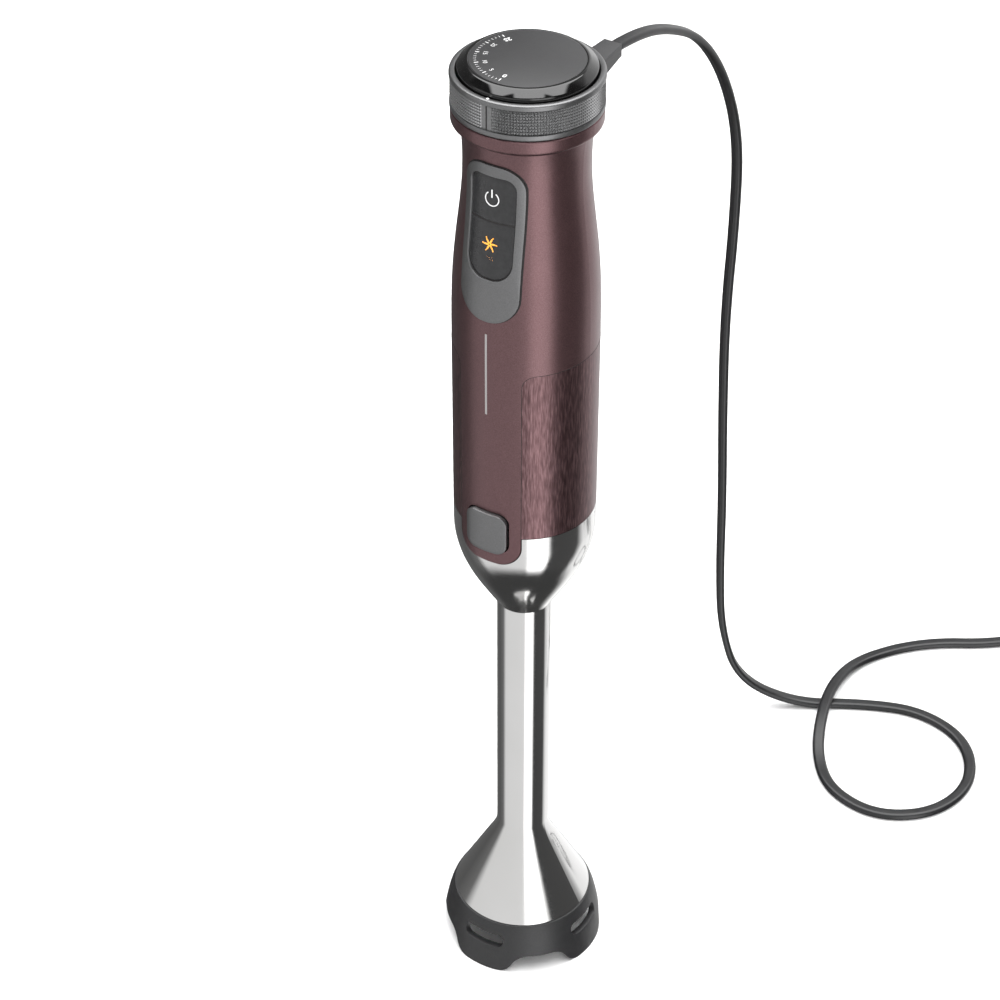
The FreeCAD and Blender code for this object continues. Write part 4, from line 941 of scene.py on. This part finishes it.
def power_sign():
    ring_line = outline_print("power_sign", arc_points(0, 0, 2.85, 34, 326, 40), POWER_Z, 0.46,
                              SIGN_PROUD)
    bar = outline_print("power_bar", [(0, 0.6), (0, 2.2), (0, 3.9)], POWER_Z, 0.54, SIGN_PROUD)
    finished(joined("power_sign", [ring_line, bar]), "white_print", "power_key", 32,
             ("power_icon",))


def turbo_sign():
    """Propeller of six curved blades with small sparks under it, lit from behind."""
    blades = []
    for i in range(6):
        turn = math.radians(60 * i + 12)
        points = []
        for j in range(6):
            share = j / 5
            r = 0.3 + 2.9 * share
            a = turn + 0.30 * share
            points.append((r * math.sin(a), r * math.cos(a)))
        blades.append(outline_print("blade_mark", points, TURBO_Z, 0.48, 0.10))
        edge = [(p[0] + 0.28 * math.cos(turn), p[1] - 0.28 * math.sin(turn)) for p in points[:4]]
        blades.append(outline_print("blade_edge", edge, TURBO_Z, 0.34, 0.08))
    for x, up in ((-0.9, -4.9), (0.1, -5.3), (1.1, -5.0), (0.5, -6.0), (1.5, -6.1)):
        spark = [(x, up), (x + 0.22, up - 0.28)]
        blades.append(outline_print("spark", spark, TURBO_Z, 0.2, 0.05))
    finished(joined("turbo_sign", blades), "amber_light", "turbo_key", 32,
             ("turbo_icon",))


LOCK_WIDTH = 0.35
LOCK_PROUD = 1.42


def unlock_sign():
    """Open padlock in the release button."""
    z = (RELEASE_LOW + RELEASE_HIGH) / 2
    body = [(-2, -3), (-2, 0.2), (2, 0.2), (2, -3)]
    bow = [(-1.3, 0.2), (-1.3, 2.0)] + arc_points(0, 2.0, 1.3, -80, 80, 10) + [(1.3, 1.6)]
    lines = [outline_print("lock_body", body, z, LOCK_WIDTH, LOCK_PROUD, True),
             outline_print("lock_bow", bow, z, LOCK_WIDTH, LOCK_PROUD)]
    finished(joined("unlock_sign", lines), "gunmetal", "release_key")


# ------------------------------------------------------------------ grip panel's seam
PANEL_HALF_W = 14.0       # of the painted tongue between the panel's front edges
PANEL_FRONT_TOP = PARTING + 78.2
PANEL_BACK_TOP = PARTING + 81.2
PANEL_REACH_Y = 70        # where the rising top edge would reach the back's height
PANEL_CORNER = (3.4, 6.0)
SEAM_STEPS = 60


def panel_seam():
    """Dark seam where the brushed panel meets the painted housing."""
    front_y = -math.sqrt(GRIP_R ** 2 - PANEL_HALF_W ** 2)
    start_y, corner_z = front_y + PANEL_CORNER[0], PANEL_FRONT_TOP - PANEL_CORNER[1]
    side = [(front_y, PARTING + 0.3), (front_y, PARTING + 36), (front_y, corner_z)]
    side += rounded((front_y, PANEL_FRONT_TOP), (front_y, corner_z),
                    (start_y, PANEL_FRONT_TOP), 8)[1:]
    turn = math.acos(max(-1, min(1, -start_y / GRIP_R)))
    for i in range(1, SEAM_STEPS + 1):
        y = -math.cos(turn + (math.pi - turn) * i / SEAM_STEPS) * GRIP_R
        rise = (y - start_y) / (PANEL_REACH_Y - start_y)
        side.append((y, PANEL_FRONT_TOP + (PANEL_BACK_TOP - PANEL_FRONT_TOP) * rise))
    places = []
    for y, z, hand in [(y, z, 1) for y, z in side] + [(y, z, -1) for y, z in side[-2::-1]]:
        r = housing_radius(z) - 0.06
        y = max(-r, min(r, y))
        places.append(Vector((hand * math.sqrt(max(0, r * r - y * y)), y, z)) * MM)
    finished(raised_line("panel_seam", places, 0.26, 1), "seam_black", "handle")


# ------------------------------------------------------------------ cord's strain relief
RELIEF_ROOT = (14, 10.8)  # width, height
RELIEF_TIP = (8.0, 5.4)


def cord_relief():
    """Flat-topped tapering block behind the neck."""
    root_y, tip_y = NECK_R - 4.0, 62.0
    clear_selection()
    bpy.ops.mesh.primitive_cube_add(size=1, location=(0, (root_y + tip_y) / 2 * MM,
                                                      (HANDLE_TOP - 7.6) * MM))
    bpy.context.object.scale = (RELIEF_ROOT[0] * MM, (tip_y - root_y) * MM, RELIEF_ROOT[1] * MM)
    relief = begin("cord_relief")
    pick(relief, "f", lambda at, face: face.normal.y > 0.9)
    bpy.ops.transform.resize(value=(RELIEF_TIP[0] / RELIEF_ROOT[0], 1,
                                    RELIEF_TIP[1] / RELIEF_ROOT[1]),
                             center_override=(0, tip_y * MM, (HANDLE_TOP - 2.6) * MM))
    bpy.ops.mesh.inset(thickness=0.8 * MM)
    bpy.ops.mesh.extrude_region_move(TRANSFORM_OT_translate={"value": (0, 1.1 * MM, 0)})
    bpy.ops.object.mode_set(mode="OBJECT")
    round_edges(relief, 0.6, 12, 3)
    finished(relief, "soft_black", "handle", 35, ("strain_relief",))


# ------------------------------------------------------------------ blade guard
def guard_ring():
    """The guard's CAD mesh, merged and with its sharp edges rounded."""
    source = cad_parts["bell_guard"]
    ring = bpy.data.objects.new("guard_ring", source.data.copy())
    bpy.context.scene.collection.objects.link(ring)
    only(ring)
    bpy.ops.object.mode_set(mode="EDIT")
    bpy.ops.mesh.select_all(action="SELECT")
    bpy.ops.mesh.remove_doubles(threshold=0.000004)
    bpy.ops.object.mode_set(mode="OBJECT")
    round_edges(ring, 0.45, 35, 2)
    finished(ring, "matte_black", "blending_shaft", 30, ("bell_guard",))


# ------------------------------------------------------------------ cord
CORD_WIDTH = 5.6 * MM
CORD_THICK = 3.7 * MM
LIE = 1.9                 # height of the flat cord's centre on the floor, in mm
LANDING = 8               # height under which the cord lies flat
CORD_ROUTE = (
    (0, 62, 415.2), (0, 80, 413.2), (0, 104, 405), (1, 130, 390), (2, 152, 362), (3, 166, 326),
    (1, 171, 282), (-2, 173, 230), (-1, 174, 178), (2, 173, 128), (3, 173, 84), (5, 174, 50),
    (13, 179, 18), (38, 194, LIE), (67, 212, LIE), (94, 222, LIE), (122, 214, LIE),
    (137, 188, LIE), (131, 160, LIE), (108, 143, LIE), (82, 147, LIE), (66, 164, LIE),
    (56, 186, 6.4), (49, 213, 6.4), (50, 242, LIE), (72, 271, LIE), (105, 290, LIE),
)
COIL_CENTRE = Vector((155.4, 302.3, 0))
COIL_RADIUS = 31.2
COIL_START = 122.0        # degrees round the coil's centre, where the cord joins it
COIL_STEPS = 16           # points in a turn
COIL_QUARTERS = 9
COIL_LIFT = 3.75          # rise of the cord in one turn
TAIL_ROUTE = ((194.6, 300.4, 13), (202.2, 288.2, 13))


def cord_points():
    points = [Vector(p) for p in CORD_ROUTE]
    steps = COIL_QUARTERS * COIL_STEPS // 4
    for i in range(steps + 1):
        angle = math.radians(COIL_START - 360 * i / COIL_STEPS)
        spoke = Vector((math.cos(angle), math.sin(angle), 0)) * COIL_RADIUS
        points.append(COIL_CENTRE + spoke + UP * (LIE + COIL_LIFT * i / COIL_STEPS))
    points += [Vector(p) for p in TAIL_ROUTE]
    return [p * MM for p in points]


def spline_path(points):
    """Points along the smooth line that the route's points control."""
    curve = bpy.data.curves.new("cord_route", "CURVE")
    curve.dimensions = "3D"
    spline = curve.splines.new("NURBS")
    spline.points.add(len(points) - 1)
    for slot, point in zip(spline.points, points):
        slot.co = (*point, 1)
    spline.order_u = 3
    spline.use_endpoint_u = True
    curve.resolution_u = 12
    holder = bpy.data.objects.new("cord_route", curve)
    bpy.context.scene.collection.objects.link(holder)
    bpy.context.view_layer.update()
    mesh = bpy.data.meshes.new_from_object(holder)
    path = [v.co.copy() for v in mesh.vertices]
    bpy.data.objects.remove(holder)
    bpy.data.meshes.remove(mesh)
    return path


def cord_section(sides=20):
    """Flat twin lead: two lobes with a shallow groove along the middle."""
    section = []
    for i in range(sides):
        angle = 2 * math.pi * i / sides
        across = math.cos(angle)
        x = CORD_WIDTH / 2 * math.copysign(abs(across) ** 0.8, across)
        height = math.sin(angle)
        y = CORD_THICK / 2 * math.copysign(abs(height) ** 0.75, height)
        groove = 1 - 0.16 * math.exp(-(x / (0.16 * CORD_WIDTH)) ** 2)
        section.append((x, y * groove))
    return section


def cord_sides(path):
    """Way of the cord and of its flat width at each point; it turns to lie flat on the floor."""
    ways = []
    for i in range(len(path)):
        before, after = path[max(i - 1, 0)], path[min(i + 1, len(path) - 1)]
        ways.append((after - before).normalized())
    side = Vector((1, 0, 0))
    carried = []
    for way in ways:
        side = (side - way * side.dot(way)).normalized()
        carried.append(side)
    landing = next(i for i, p in enumerate(path) if p.z < LANDING * MM)
    level = ways[landing].cross(UP).normalized()
    if level.dot(carried[landing]) < 0:
        level = -level
    twist = math.atan2(ways[landing].dot(carried[landing].cross(level)),
                       carried[landing].dot(level))
    sides = []
    for i, (way, side) in enumerate(zip(ways, carried)):
        if i <= landing:
            share = i / landing
            sides.append(Matrix.Rotation(twist * share, 3, way) @ side)
        else:
            flat = way.cross(UP).normalized()
            sides.append(flat if flat.dot(sides[-1]) > 0 else -flat)
    return ways, sides


def make_cord():
    path = spline_path(cord_points())
    ways, sides = cord_sides(path)
    section = cord_section()
    count = len(section)
    vertices = []
    for point, way, side in zip(path, ways, sides):
        lift = side.cross(way)
        vertices += [point + side * x + lift * y for x, y in section]
    faces = [tuple(range(count))[::-1]]
    for ring in range(len(path) - 1):
        for i in range(count):
            a, b = ring * count + i, ring * count + (i + 1) % count
            faces.append((a, b, b + count, a + count))
    last = (len(path) - 1) * count
    faces.append(tuple(range(last, last + count)))
    mesh = bpy.data.meshes.new("mains_lead")
    mesh.from_pydata(vertices, [], faces)
    mesh.update()
    cord = bpy.data.objects.new("mains_lead", mesh)
    bpy.context.scene.collection.objects.link(cord)
    only(cord)
    bpy.ops.object.mode_set(mode="EDIT")
    bpy.ops.mesh.select_all(action="SELECT")
    bpy.ops.mesh.normals_make_consistent(inside=False)
    bpy.ops.object.mode_set(mode="OBJECT")
    bpy.ops.object.shade_smooth()
    mesh.materials.append(FINISH["cord_black"])
    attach(cord, "handle")
    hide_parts("power_cord", "cord_tail", "cord_coil")


place_camera()
dress_nodes()
make_cord()
dial_cap()
dial_face()
dial_scale()
ring_body()
ring_knurl()
ring_index()
ring_dot()
control_bezel()
bezel_seam()
push_buttons()
release_button()
power_sign()
turbo_sign()
unlock_sign()
panel_seam()
cord_relief()
guard_ring()
studio_world()
lay_floor()
hang_lamp("key", RIGHT * 0.5 - AWAY * 1.2 + UP * 1.8, Vector((0, 0, 0.2)), 1.2, KEY_POWER)
hang_lamp("top", AWAY * 0.2 + UP * 2.2, Vector((0, 0, 0)), 2.5, TOP_POWER)
bpy.context.scene.view_settings.view_transform = "Standard"
